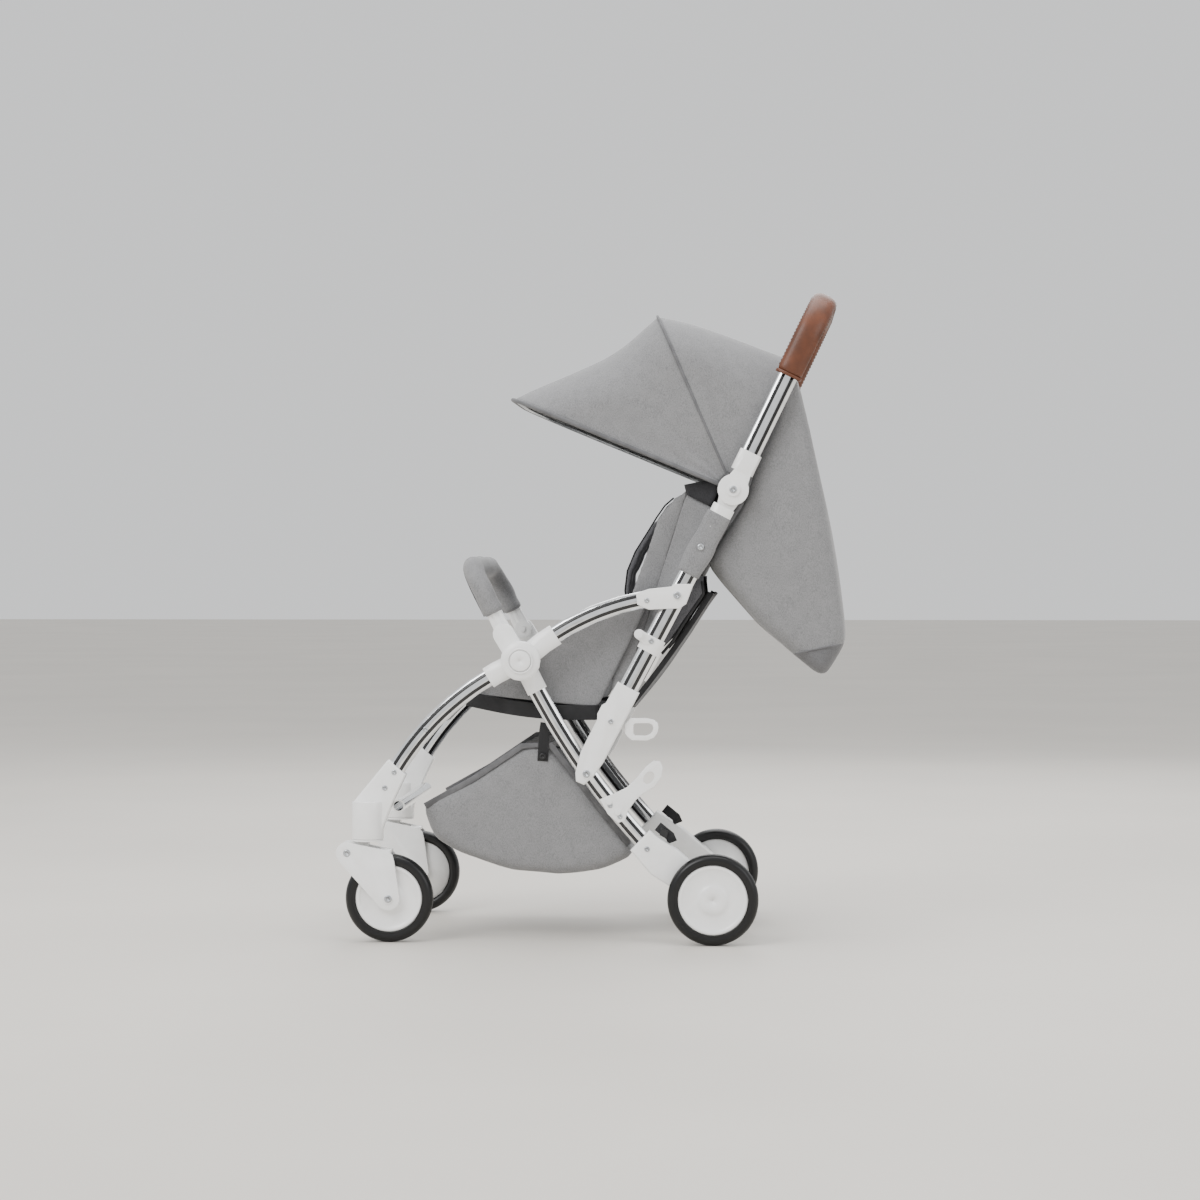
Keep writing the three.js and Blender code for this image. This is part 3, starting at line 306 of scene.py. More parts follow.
@dataclass(frozen=True)
class Finish:
    """What every finish has: its name, its slot in the record and its shader's fixed values."""

    name: str
    slot: str
    light: str
    dark: str
    roughness: float
    metallic: float = 0.0
    ior: float = 1.5
    coat: float = 0.0
    sheen: float = 0.0
    spread_mm: float = 20.0  # size of the slow colour variation
    grain_mm: float = 1.0  # size of the bump's grain
    grain_mm_deep: float = 0.05
    rough_spread: float = 0.05

    def grain(self, tree: bpy.types.NodeTree, place: bpy.types.NodeSocket) -> bpy.types.NodeSocket:
        """The height of the surface's grain, from 0 to 1."""
        scale = 1 / (self.grain_mm * MM)
        return add_node(tree, "ShaderNodeTexNoise",
                        {"Vector": place, "Scale": scale, "Detail": 3.0}).outputs[0]

    def tint(
        self, tree: bpy.types.NodeTree, place: bpy.types.NodeSocket, height: bpy.types.NodeSocket
    ) -> bpy.types.NodeSocket:
        """The share of the light colour over the surface, from 0 to 1."""
        scale = 1 / (self.spread_mm * MM)
        return add_node(tree, "ShaderNodeTexNoise",
                        {"Vector": place, "Scale": scale, "Detail": 4.0}).outputs[0]

    def material(self) -> bpy.types.Material:
        """The finish as a Blender material, made once."""
        if self.name in bpy.data.materials:
            return bpy.data.materials[self.name]
        material = bpy.data.materials.new(self.name)
        material.use_nodes = True
        tree = material.node_tree
        shader = tree.nodes["Principled BSDF"]
        place = add_node(tree, "ShaderNodeTexCoord").outputs["Object"]
        height = self.grain(tree, place)
        share = self.tint(tree, place, height)
        ramp = add_node(tree, "ShaderNodeValToRGB", {"Fac": share})
        ramp.color_ramp.elements[0].position, ramp.color_ramp.elements[1].position = 0.34, 0.66
        ramp.color_ramp.elements[0].color = linear(self.dark)
        ramp.color_ramp.elements[1].color = linear(self.light)
        rough = add_node(
            tree,
            "ShaderNodeMapRange",
            {"Value": share, "To Min": self.roughness - self.rough_spread,
             "To Max": self.roughness + self.rough_spread},
        )
        bump = add_node(
            tree, "ShaderNodeBump", {"Height": height, "Strength": 0.6, "Distance": self.grain_mm_deep * MM}
        )
        tree.links.new(ramp.outputs[0], shader.inputs["Base Color"])
        tree.links.new(rough.outputs[0], shader.inputs["Roughness"])
        tree.links.new(bump.outputs[0], shader.inputs["Normal"])
        for socket, value in (
            ("Metallic", self.metallic),
            ("IOR", self.ior),
            ("Coat Weight", self.coat),
            ("Coat Roughness", 0.12),
            ("Sheen Weight", self.sheen),
            ("Sheen Roughness", 0.45),
        ):
            shader.inputs[socket].default_value = value
        return material


@dataclass(frozen=True)
class DrawnTube(Finish):
    """Polished and clear-anodised aluminium tube: faint lines run along it from the die."""

    def grain(self, tree: bpy.types.NodeTree, place: bpy.types.NodeSocket) -> bpy.types.NodeSocket:
        """Die lines, long across the stroller's height and length and fine across the tube."""
        stretched = add_node(tree, "ShaderNodeMapping", {"Vector": place, "Scale": (40.0, 1200.0, 40.0)})
        return add_node(tree, "ShaderNodeTexNoise", {"Vector": stretched.outputs[0], "Scale": 1.0}).outputs[0]


@dataclass(frozen=True)
class HeatherCloth(Finish):
    """Woven melange polyester: light and dark fibres are mixed in the yarn, so it looks flecked and dull."""

    thread_mm: float = 2.4  # the real thread spacing is 0.5 mm; drawn coarser so that it shows

    def grain(self, tree: bpy.types.NodeTree, place: bpy.types.NodeSocket) -> bpy.types.NodeSocket:
        """Threads that cross in a twill, from two slanted waves."""
        scale = 1 / (self.thread_mm * MM)
        heights = []
        for slant in ((0.7, 0.35, 0.7), (0.7, -0.5, -0.7)):
            turned = add_node(tree, "ShaderNodeVectorMath", {0: place, 1: slant}, operation="DOT_PRODUCT")
            phase = add_node(tree, "ShaderNodeMath", {0: turned.outputs["Value"], 1: scale * 2 * math.pi},
                             operation="MULTIPLY")
            heights.append(add_node(tree, "ShaderNodeMath", {0: phase.outputs[0]},
                                    operation="SINE").outputs[0])
        both = add_node(tree, "ShaderNodeMath", {0: heights[0], 1: heights[1]}, operation="MULTIPLY")
        return add_node(tree, "ShaderNodeMath", {0: both.outputs[0], 1: 0.5, 2: 0.5},
                        operation="MULTIPLY_ADD").outputs[0]

    def tint(
        self, tree: bpy.types.NodeTree, place: bpy.types.NodeSocket, height: bpy.types.NodeSocket
    ) -> bpy.types.NodeSocket:
        """Flecks along the threads, over a slow variation of the dye lot."""
        stretched = add_node(tree, "ShaderNodeMapping", {"Vector": place, "Scale": (1.0, 0.6, 0.45)})
        flecks = add_node(
            tree, "ShaderNodeTexNoise", {"Vector": stretched.outputs[0], "Scale": 1 / (1.0 * MM),
                                         "Detail": 1.0}
        )
        slow = add_node(tree, "ShaderNodeTexNoise", {"Vector": place, "Scale": 1 / (self.spread_mm * MM)})
        mixed = add_node(tree, "ShaderNodeMath", {0: slow.outputs[0], 1: 0.25, 2: -0.125},
                         operation="MULTIPLY_ADD")
        threads = add_node(tree, "ShaderNodeMath", {0: height, 1: 0.12, 2: mixed.outputs[0]},
                           operation="MULTIPLY_ADD")
        return add_node(tree, "ShaderNodeMath", {0: flecks.outputs[0], 1: threads.outputs[0]},
                        operation="ADD").outputs[0]


@dataclass(frozen=True)
class Webbing(Finish):
    """Woven nylon webbing and binding tape: ribs cross it every 1.5 mm."""

    def grain(self, tree: bpy.types.NodeTree, place: bpy.types.NodeSocket) -> bpy.types.NodeSocket:
        """The tape's cross ribs."""
        return add_node(
            tree, "ShaderNodeTexWave", {"Vector": place, "Scale": 0.31 / (1.5 * MM), "Distortion": 0.4},
            bands_direction="DIAGONAL",
        ).outputs["Fac"]


@dataclass(frozen=True)
class Leather(Finish):
    """Vegetable-tanned cowhide with a pebbled grain."""

    def grain(self, tree: bpy.types.NodeTree, place: bpy.types.NodeSocket) -> bpy.types.NodeSocket:
        """Pebbles 1.3 mm across."""
        cells = add_node(
            tree, "ShaderNodeTexVoronoi", {"Vector": place, "Scale": 1 / (self.grain_mm * MM),
                                           "Smoothness": 0.6},
            feature="SMOOTH_F1",
        )
        return add_node(tree, "ShaderNodeMath", {0: 1.0, 1: cells.outputs["Distance"]},
                        operation="SUBTRACT").outputs[0]


# Clear-anodised aluminium is bright and mirror-like, with soft streaks.
ALLOY = DrawnTube("polished_aluminium_tube", "alloy", "#F4F5F6", "#E2E4E6", 0.13, metallic=1.0,
                  grain_mm_deep=0.01)
# Gloss ABS: a bright moulded white with a faint orange peel.
GLOSS_ABS = Finish("moulded_gloss_abs", "white_plastic", "#FBFBFA", "#F6F6F5", 0.24, coat=0.3, grain_mm=2.5,
                   grain_mm_deep=0.02)
# Glass-filled nylon: near black, satin from its spark-eroded mould.
NYLON = Finish("moulded_black_nylon", "black_plastic", "#232324", "#151516", 0.42, grain_mm=0.8,
               grain_mm_deep=0.05)
# Cast polyurethane tyre: glossy when new, and faintly dusty on its tread.
TYRE = Finish("cast_polyurethane_tyre", "tyre", "#080809", "#050506", 0.36, ior=1.42, coat=0.1, grain_mm=1.8,
              grain_mm_deep=0.04)
# Zinc-plated steel: bluish grey, from rolling and plating.
STEEL = Finish("zinc_plated_steel", "steel", "#C9CCCF", "#A9ACB0", 0.28, metallic=1.0, grain_mm=0.6,
               grain_mm_deep=0.01)
# Near-black strips in the tubes' rolled grooves: painted shade and dark reflection that the polished tube shows in
# them.
GROOVE_SHADE = Finish("painted_groove_shade", "alloy", "#0E0E10", "#070708", 0.25, coat=0.2, grain_mm=3.0,
                 grain_mm_deep=0.01)
GREY = HeatherCloth("grey_heather_polyester", "grey_cloth", "#8A8A8B", "#707072", 0.86, sheen=0.25,
                    grain_mm_deep=0.35)
DARK = HeatherCloth("dark_heather_polyester", "dark_cloth", "#58585B", "#414145", 0.88, sheen=0.2,
                    grain_mm_deep=0.3)
LINING = HeatherCloth("black_lining_cloth", "black_cloth", "#2B2B2E", "#151517", 0.85, sheen=0.15,
                      grain_mm_deep=0.25)
TAPE = Webbing("black_webbing", "black_cloth", "#202022", "#121214", 0.75, sheen=0.1, grain_mm_deep=0.2)
SHADE = HeatherCloth("mid_grey_heather_polyester", "grey_cloth", "#6C6C6E", "#58585A", 0.88, sheen=0.2,
                     grain_mm_deep=0.35)
BINDING = Webbing("grey_binding_tape", "grey_cloth", "#6A6A6C", "#58585A", 0.8, sheen=0.15, grain_mm_deep=0.2)
HIDE = Leather("brown_cowhide", "leather", "#673519", "#4C260F", 0.45, coat=0.05, grain_mm=1.3,
               grain_mm_deep=0.16, spread_mm=35)
THREAD = Finish("waxed_brown_thread", "leather", "#6B3B20", "#4F2A16", 0.6, grain_mm=0.5, grain_mm_deep=0.05)
SLOT_FINISH = {"alloy": ALLOY, "white_plastic": GLOSS_ABS, "black_plastic": NYLON, "tyre": TYRE,
               "steel": STEEL,
               "grey_cloth": GREY, "dark_cloth": DARK, "black_cloth": LINING, "leather": HIDE}


# ------------------------------------------------------------------ mesh making
Ring = Sequence[Sequence[float]]


def piece(name: str, verts: Sequence, faces: Sequence, finish: Finish,
          body: str | None = None) -> bpy.types.Object:
    """A smooth-shaded mesh piece.

    Args:
        name: the piece's name.
        verts: points in mm.
        faces: corner numbers of each face.
        finish: what it is made of.
        body: the body that it rides, if it is settled already.
    Returns:
        The new object.
    """
    mesh = bpy.data.meshes.new(name)
    mesh.from_pydata([tuple(float(c) * MM for c in v) for v in verts], [],
                     [tuple(map(int, f)) for f in faces])
    mesh.validate()
    work = bmesh.new()
    work.from_mesh(mesh)
    bmesh.ops.recalc_face_normals(work, faces=work.faces)
    work.to_mesh(mesh)
    work.free()
    mesh.shade_smooth()
    made = bpy.data.objects.new(name, mesh)
    bpy.context.scene.collection.objects.link(made)
    made.data.materials.append(finish.material())
    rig.slot(made, finish.slot)
    if body:
        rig.ride(made, body)
    log.info("%s: %d faces", name, len(mesh.polygons))
    return made


def merge(parts: Sequence[tuple[list, list]]) -> tuple[list, list]:
    """Several (points, faces) as one."""
    verts, faces = [], []
    for v, f in parts:
        faces += [[i + len(verts) for i in face] for face in f]
        verts += list(v)
    return verts, faces


def grid(rows: Sequence[Ring], closed: bool = False, caps: bool = False) -> tuple[list, list]:
    """Quads over rows of points.

    Args:
        rows: rows with equally many points.
        closed: each row is a ring.
        caps: the first and last rings are filled.
    Returns:
        The points and faces.
    """
    n = len(rows[0])
    faces = [
        [i * n + j, i * n + (j + 1) % n, (i + 1) * n + (j + 1) % n, (i + 1) * n + j]
        for i in range(len(rows) - 1)
        for j in range(n if closed else n - 1)
    ]
    if caps:
        faces += [list(range(n)), list(range((len(rows) - 1) * n, len(rows) * n))[::-1]]
    return [p for row in rows for p in row], faces


def oval(width: float, height: float, count: int = 28, power: float = OVAL_POWER) -> list[Point]:
    """A rounded oval section: across, then along."""
    out = []
    for a in np.linspace(0, 2 * math.pi, count, endpoint=False):
        c, s = math.cos(a), math.sin(a)
        out.append((math.copysign(abs(c) ** (2 / power), c) * width / 2,
                    math.copysign(abs(s) ** (2 / power), s) * height / 2))
    return out


def sweep(
    path: Sequence[Sequence[float]], normal: Sequence[float], section: Sequence[Point] | Callable[[float],
            Sequence[Point]],
    caps: bool = True,
) -> tuple[list, list]:
    """A section carried along a path that lies in one plane.

    Args:
        path: points in mm.
        normal: the plane's normal; the section's first number runs along it.
        section: the section, or a function of the share of the path.
        caps: both ends are filled.
    Returns:
        The points and faces.
    """
    p, n = np.array(path, float), np.array(normal, float)
    n /= np.linalg.norm(n)
    rows = []
    for i, at in enumerate(p):
        t = p[min(i + 1, len(p) - 1)] - p[max(i - 1, 0)]
        t /= np.linalg.norm(t)
        b = np.cross(t, n)
        shape = section(i / (len(p) - 1)) if callable(section) else section
        rows.append([at + n * u + b * v for u, v in shape])
    return grid(rows, closed=True, caps=caps)


def side_path(points: Sequence[np.ndarray], y: float) -> list[tuple[float, float, float]]:
    """Side-view points placed at one y."""
    return [(p[0], y, p[1]) for p in points]


def hoop(base: Sequence[float], degrees: float, start: float, reach: float, half: float, corner: float,
         straight: int = 10, arc: int = 10, top: int = 12) -> np.ndarray:
    """A U that leans at an angle and spans the stroller, from its right foot to its left.

    Args:
        base: side-view point of both feet.
        degrees: the lean.
        start: how far from the base each leg starts.
        reach: distance from base to the crossing.
        half: half the width.
        corner: radius of the two bends.
        straight, arc, top: how many points each leg, bend and half crossing has.
    Returns:
        The points in mm, one per row.
    """
    d = polar(degrees)
    flat = [(s, half) for s in np.linspace(start, reach - corner, straight, endpoint=False)]
    flat += [
        (reach - corner + corner * math.sin(a), half - corner + corner * math.cos(a))
        for a in np.linspace(0, math.pi / 2, arc, endpoint=False)
    ]
    flat += [(reach, y) for y in np.linspace(half - corner, 0, top)]
    flat += [(s, -y) for s, y in flat[-2::-1]]
    return np.array([(base[0] + d[0] * s, y, base[1] + d[1] * s) for s, y in flat])


def lathe(profile: Sequence[Point], centre: Sequence[float], y: float, side: int,
          count: int = 80) -> tuple[list, list]:
    """A closed profile of (radius, distance out) turned about a crosswise axis."""
    rows = [
        [(centre[0] + r * math.cos(a), y + side * h, centre[1] + r * math.sin(a)) for r, h in profile]
        for a in np.linspace(0, 2 * math.pi, count, endpoint=False)
    ]
    rows.append(rows[0])
    verts, faces = grid(rows, closed=True)
    return verts[: -len(profile)], [[i % (count * len(profile)) for i in f] for f in faces]


def block(outline: Sequence[Sequence[float]], low: float, high: float) -> tuple[list, list]:
    """A side-view outline with thickness across the stroller."""
    rows = [[(p[0], y, p[1]) for p in outline] for y in (low, high)]
    return grid(rows, closed=True, caps=True)


def modify(made: bpy.types.Object, kind: str, **settings) -> None:
    """Adds one modifier with its settings and applies it."""
    modifier = made.modifiers.new(kind.lower(), kind)
    for key, value in settings.items():
        setattr(modifier, key, value)
    bpy.context.view_layer.update()
    mesh = bpy.data.meshes.new_from_object(made.evaluated_get(bpy.context.evaluated_depsgraph_get()))
    made.modifiers.clear()
    made.data = mesh
    mesh.shade_smooth()


def soften(made: bpy.types.Object, radius: float, angle: float = 35) -> bpy.types.Object:
    """Rounds a hard piece's edges by a radius in mm, and shades it smooth between them."""
    modify(made, "BEVEL", width=radius * MM, segments=3, limit_method="ANGLE",
           angle_limit=math.radians(angle), harden_normals=True)
    return made


def points_of(made: bpy.types.Object) -> np.ndarray:
    """A piece's points in mm."""
    return np.array([v.co for v in made.data.vertices], float) / MM


def place(made: bpy.types.Object, points: np.ndarray) -> None:
    """Writes a piece's points back, given in mm."""
    made.data.vertices.foreach_set("co", (points * MM).astype(np.float32).ravel())
    made.data.update()


def swell(made: bpy.types.Object, voxel: float, cap: float) -> bpy.types.Object:
    """Stuffs a closed block: an even mesh, then a cloth simulation under pressure.

    Args:
        made: the block, a little smaller than the stuffed piece.
        voxel: mesh size in mm.
        cap: how far a point may move, in mm.
    Returns:
        The same piece, with the result applied.
    """
    modify(made, "REMESH", mode="VOXEL", voxel_size=voxel * MM)
    rest = points_of(made)
    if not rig.quick():
        cloth = made.modifiers.new("stuffing", "CLOTH")
        cloth.settings.use_pressure = True
        cloth.settings.uniform_pressure_force = 4.0
        cloth.settings.quality = 5
        cloth.settings.effector_weights.gravity = 0.0
        scene = bpy.context.scene
        for step in range(1, 21):
            scene.frame_set(step)
        held = made.evaluated_get(bpy.context.evaluated_depsgraph_get())
        moved = np.array([v.co for v in held.data.vertices], float) / MM
        made.modifiers.clear()
        scene.frame_set(1)
        shift = moved - rest
        far = np.linalg.norm(shift, axis=1, keepdims=True)
        place(made, rest + shift * np.minimum(1, cap / np.maximum(far, 1e-6)))
    modify(made, "SMOOTH", factor=0.5, iterations=6)
    modify(made, "SUBSURF", levels=1, render_levels=1)
    return made


def channel(made: bpy.types.Object, at: Callable[[np.ndarray], np.ndarray], width: float, depth: float,
            normal: Sequence[float]) -> None:
    """Presses a sewn channel into a pad.

    Args:
        made: the pad.
        at: gives each point's distance from the seam, in mm.
        width: half width of the channel.
        depth: how far the seam is drawn in.
        normal: the way that the pad's face looks; only that side is pressed.
    """
    p = points_of(made)
    normal = np.array(normal, float) / np.linalg.norm(normal)
    facing = np.clip(np.array([v.normal for v in made.data.vertices]) @ normal, 0, 1)
    pull = np.exp(-((at(p) / width) ** 2)) * depth * facing
    place(made, p - pull[:, None] * normal)


def wrinkle(made: bpy.types.Object, depth: float, size: float, seed: float,
            stretch: Sequence[float] = (1, 1, 1)) -> None:
    """Moves cloth in and out along its normals in soft folds.

    Args:
        made: the cloth.
        depth: how far, in mm.
        size: a fold's size in mm.
        seed: a fixed shift of the pattern.
        stretch: shrinks the pattern's rate along x, y and z.
    """
    p = points_of(made)
    n = np.array([v.normal for v in made.data.vertices])
    q = p * np.array(stretch) / size + seed
    place(made, p + n * np.array([noise.noise(Vector(v)) for v in q])[:, None] * depth)


def surface_y(node: str, at: Sequence[float], side: int) -> float:
    """Where a CAD node's outer face lies across the stroller, in mm, at a side-view point."""
    shell = frame["nodes"][node]
    found, hit, _, _ = shell.ray_cast(Vector((at[0] * MM, side, at[1] * MM)), Vector((0, -side, 0)))
    if not found:
        raise ValueError(f"nothing of {node} lies at {tuple(at)}")
    return hit.y / MM


# ------------------------------------------------------------------ hard parts
class Fixing(Enum):
    """The small round fixings: the head's radius and height in mm."""

    SCREW = (4.4, 1.3)
    PIVOT = (6.2, 1.8)
    SNAP = (5.4, 2.2)


def fixing(kind: Fixing, at: Sequence[float], y: float, side: int) -> tuple[list, list]:
    """A domed head with a hexagonal socket, standing out from y."""
    r, h = kind.value
    rings = [(r, -0.6), (r, h * 0.55), (r * 0.86, h * 0.92), (r * 0.6, h)]
    count = 24
    angles = np.linspace(0, 2 * math.pi, count, endpoint=False)
    hexagon = lambda a: r * 0.42 / math.cos((a + math.pi / 6) % (math.pi / 3) - math.pi / 6)
    rows = [[(at[0] + q * math.cos(a), y + side * d, at[1] + q * math.sin(a)) for a in angles] for q,
            d in rings]
    for d in (h * 0.96, h * 0.25):
        rows.append([(at[0] + hexagon(a) * math.cos(a), y + side * d,
                      at[1] + hexagon(a) * math.sin(a)) for a in angles])
    return grid(rows, closed=True, caps=True)


@dataclass
class FrameDress:
    """The frame's own solids, with rounded edges, finishes, grooves and fixings."""

    edge: float = 0.7
    groove_at: float = 6.6
    groove_half: float = 2.7
    fixings: tuple = (
        ("front_leg", "front_frame", Fixing.SCREW, (-269, 343)),
        ("caster_bracket", "front_frame", Fixing.SCREW, (-319, 274)),
        ("caster_bracket", "front_frame", Fixing.SCREW, (-334, 249)),
        ("armrest_elbow", "front_frame", Fixing.SCREW, (88, 551)),
        ("armrest_elbow", "front_frame", Fixing.PIVOT, (136.6, 559.4)),
        ("slide_sleeve", "sleeves", Fixing.PIVOT, (-8.9, 272.8)),
        ("slide_sleeve", "sleeves", Fixing.SCREW, (30, 357)),
        ("rear_housing", "rear_frame", Fixing.SCREW, (88, 152)),
        ("hinge_socket", "back_frame", Fixing.PIVOT, (226, 728.5)),
        ("caster_swivel", "fork", Fixing.PIVOT, (-394.3, 144.4)),
        ("caster_fork", "fork", Fixing.PIVOT, (-327.4, 71.6)),
    )

    def nodes(self) -> None:
        """Gives each CAD node its finish, and each hard one rounded, smooth-shaded edges."""
        tree = self.shading()
        for entry in frame["record"]["subparts"]:
            shell = frame["nodes"][entry["node"]]
            finish = SLOT_FINISH[entry["material_slot"]]
            for place_of in shell.material_slots:
                place_of.material = finish.material()
            if shell.hide_render:
                continue
            shell.modifiers.new("weld", "WELD").merge_threshold = 0.02 * MM
            flat = shell.modifiers.new("flat", "DECIMATE")
            flat.decimate_type, flat.angle_limit = "DISSOLVE", math.radians(0.8)
            if finish is not ALLOY:
                bevel = shell.modifiers.new("edges", "BEVEL")
                bevel.width, bevel.segments, bevel.angle_limit = self.edge * MM, 2, math.radians(38)
            shell.modifiers.new("shading", "NODES").node_group = tree
            log.info("%s dressed as %s", shell.name, finish.name)

    def shading(self) -> bpy.types.NodeTree:
        """A modifier that shades smooth, apart from edges sharper than 40 degrees."""
        tree = bpy.data.node_groups.new("smooth_between_edges", "GeometryNodeTree")
        tree.interface.new_socket("Geometry", in_out="INPUT", socket_type="NodeSocketGeometry")
        tree.interface.new_socket("Geometry", in_out="OUTPUT", socket_type="NodeSocketGeometry")
        start = add_node(tree, "NodeGroupInput")
        bare = add_node(tree, "GeometryNodeRemoveAttribute",
                        {"Geometry": start.outputs[0], "Name": "custom_normal"})
        faces = add_node(tree, "GeometryNodeSetShadeSmooth",
                         {"Geometry": bare.outputs[0], "Shade Smooth": True})
        angle = add_node(tree, "GeometryNodeInputMeshEdgeAngle")
        sharp = add_node(tree, "FunctionNodeCompare",
                         {0: angle.outputs["Unsigned Angle"], 1: math.radians(40)},
                         data_type="FLOAT", operation="LESS_EQUAL")
        edges = add_node(tree, "GeometryNodeSetShadeSmooth",
                         {"Geometry": faces.outputs[0], "Shade Smooth": sharp.outputs[0]},
                         domain="EDGE")
        add_node(tree, "NodeGroupOutput", {0: edges.outputs[0]})
        return tree

    @staticmethod
    def face_at(across: float, width: float) -> float:
        """How far a tube's side face stands from its middle plane, at a distance across the tube."""
        if width == HANDLE_WIDTH:
            return TUBE_HALF * (1 - (abs(across) / (HANDLE_WIDTH / 2)) ** OVAL_POWER) ** (1 / OVAL_POWER)
        spare = width / 2 - TUBE_HALF
        return float(np.interp(abs(across), [0, 1.94 + spare * 0.298, 5.3 + spare * 0.813, width / 2],
                               [7.24, 7.24, 5.3, 1.9]))

    def grooves(self) -> None:
        """Two grooves along both faces of every tube, drawn as near-black strips: painted shade and dark reflection.
        """
        tubes = (
            ("front_leg", "front_frame", FRONT_LEG, 26, FRONT_LEG.run() - 4, TUBE_Y, TUBE_WIDTH),
            ("armrest", "front_frame", ARMREST, 30, ARMREST.run() - 44, TUBE_Y, TUBE_WIDTH),
            ("rear_leg", "rear_frame", REAR_LEG, 32, REAR_LEG.run() - 4, LEG_Y, TUBE_WIDTH),
            ("back_tube", "back_frame", BACK_TUBE, 26, 478, TUBE_Y, BACK_WIDTH),
            ("handle_tube", "handle", HANDLE, 37, 202, TUBE_Y, HANDLE_WIDTH),
        )
        for name, body, line, start, end, y, width in tubes:
            at = self.groove_at * width / TUBE_WIDTH
            for word, side in SIDES.items():
                bands = []
                for n in (-at, at):
                    for face in (-1, 1):
                        spread = np.linspace(-self.groove_half, self.groove_half, 5)
                        band = [(face * (self.face_at(n + e, width) + 0.35), e) for e in spread]
                        band += [(face * (self.face_at(n + e, width) - 0.8), e) for e in spread[::-1]]
                        bands.append(sweep(side_path(line.span(start, end, 24, n), side * y), (0, 1, 0),
                                           band))
                # Near-black strips: painted shade and dark reflection in the grooves.
                piece(f"{name}_grooves_{word}", *merge(bands), GROOVE_SHADE, body)

    def screws(self) -> None:
        """Screw and pivot heads, on the faces that they hold."""
        for word, side in SIDES.items():
            by_body: dict[str, list] = {}
            for node, body, kind, at in self.fixings:
                y = surface_y(f"{node}_{word}", at, side)
                rider = body if body in frame["bodies"] else f"{body}_{word}"
                by_body.setdefault(rider, []).append(fixing(kind, at, y, side))
            if word == "left":
                for at in ((28, 221), (44, 203)):
                    by_body["rear_frame"].append(fixing(Fixing.SCREW, at, surface_y("fold_hook", at, side),
                                                        side))
                at = (95, 486)
                by_body["back_frame"].append(fixing(Fixing.SCREW, at, surface_y("lock_stud", at, side), side))
            for body, parts in by_body.items():
                piece(f"screws_{body.removesuffix('_' + word)}_{word}", *merge(parts), STEEL, body)

    def hub_caps(self) -> None:
        """A shallow cap and its ring on each side hub."""
        for word, side in SIDES.items():
            y = surface_y(f"hub_{word}", HUB, side)
            cap = [(0.01, -0.5), (0.01, 1.5), (10, 1.3), (15, 0.9), (16.6, 0.1), (16.6, -0.5)]
            ring = [(18.4, -0.5), (18.4, 0.5), (19.4, 1.1), (20.6, 0.5), (20.6, -0.5)]
            piece(f"hub_cap_{word}", *merge([lathe(cap, HUB, y, side), lathe(ring, HUB, y, side)]),
                  GLOSS_ABS, "front_frame")


@dataclass
class Wheels:
    """Round tyres and dished discs for the four wheels."""

    sizes: tuple = (("rear", (194.0, 73.0), 73.0, 28.0, 220.0), ("front", (-328.0, 71.0), 71.0, 26.0, 202.0))
    rim_drop: float = 17.0

    def build(self) -> None:
        """Makes every tyre and disc."""
        for name, centre, r, w, y in self.sizes:
            for word, side in SIDES.items():
                h, i = w / 2, r - self.rim_drop
                shoulder = [(i + 5, h - 0.4), (r - 8, h), (r - 4.5, h - 1.4), (r - 1.6, h - 5)]
                shoulder += [(r - 0.3, h - 8.5), (r, h - 10), (r, 2.2), (r - 0.9, 1.6)]
                lip = [(i + 2.4, h - 1.4), (i + 1.2, h - 0.6), (i, h - 2)]
                tread = [(i, -h + 2)] + [(q, -out) for q, out in shoulder] + shoulder[::-1] + lip
                rubber = piece(f"{name}_tyre_ring_{word}", *lathe(tread, centre, side * y, side, 96), TYRE,
                               f"{name}_wheel_{word}")
                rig.replaces(rubber, f"{name}_tyre_{word}")
                k = i - 0.3
                back = [(4.3, -h + 2), (20, -h + 2), (22, -h + 5), (k, -h + 4)]
                step = [(k, h - 3.2), (k - 2, h - 2.2), (k - 5, h - 2.2), (k - 6.6, h - 3.4),
                        (k - 8, h - 4.4)]
                hub = [(30, h - 4.9), (26, h - 4.6), (22.5, h - 2.6), (21, h - 1.6), (15, h - 1.1),
                       (0.05, h - 0.9), (0.05, h - 3), (4.3, h - 3.2)]
                dish = back + step + hub
                disc = piece(f"{name}_wheel_dish_{word}", *lathe(dish, centre, side * y, side, 96),
                             GLOSS_ABS, f"{name}_wheel_{word}")
                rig.replaces(disc, f"{name}_wheel_disc_{word}")


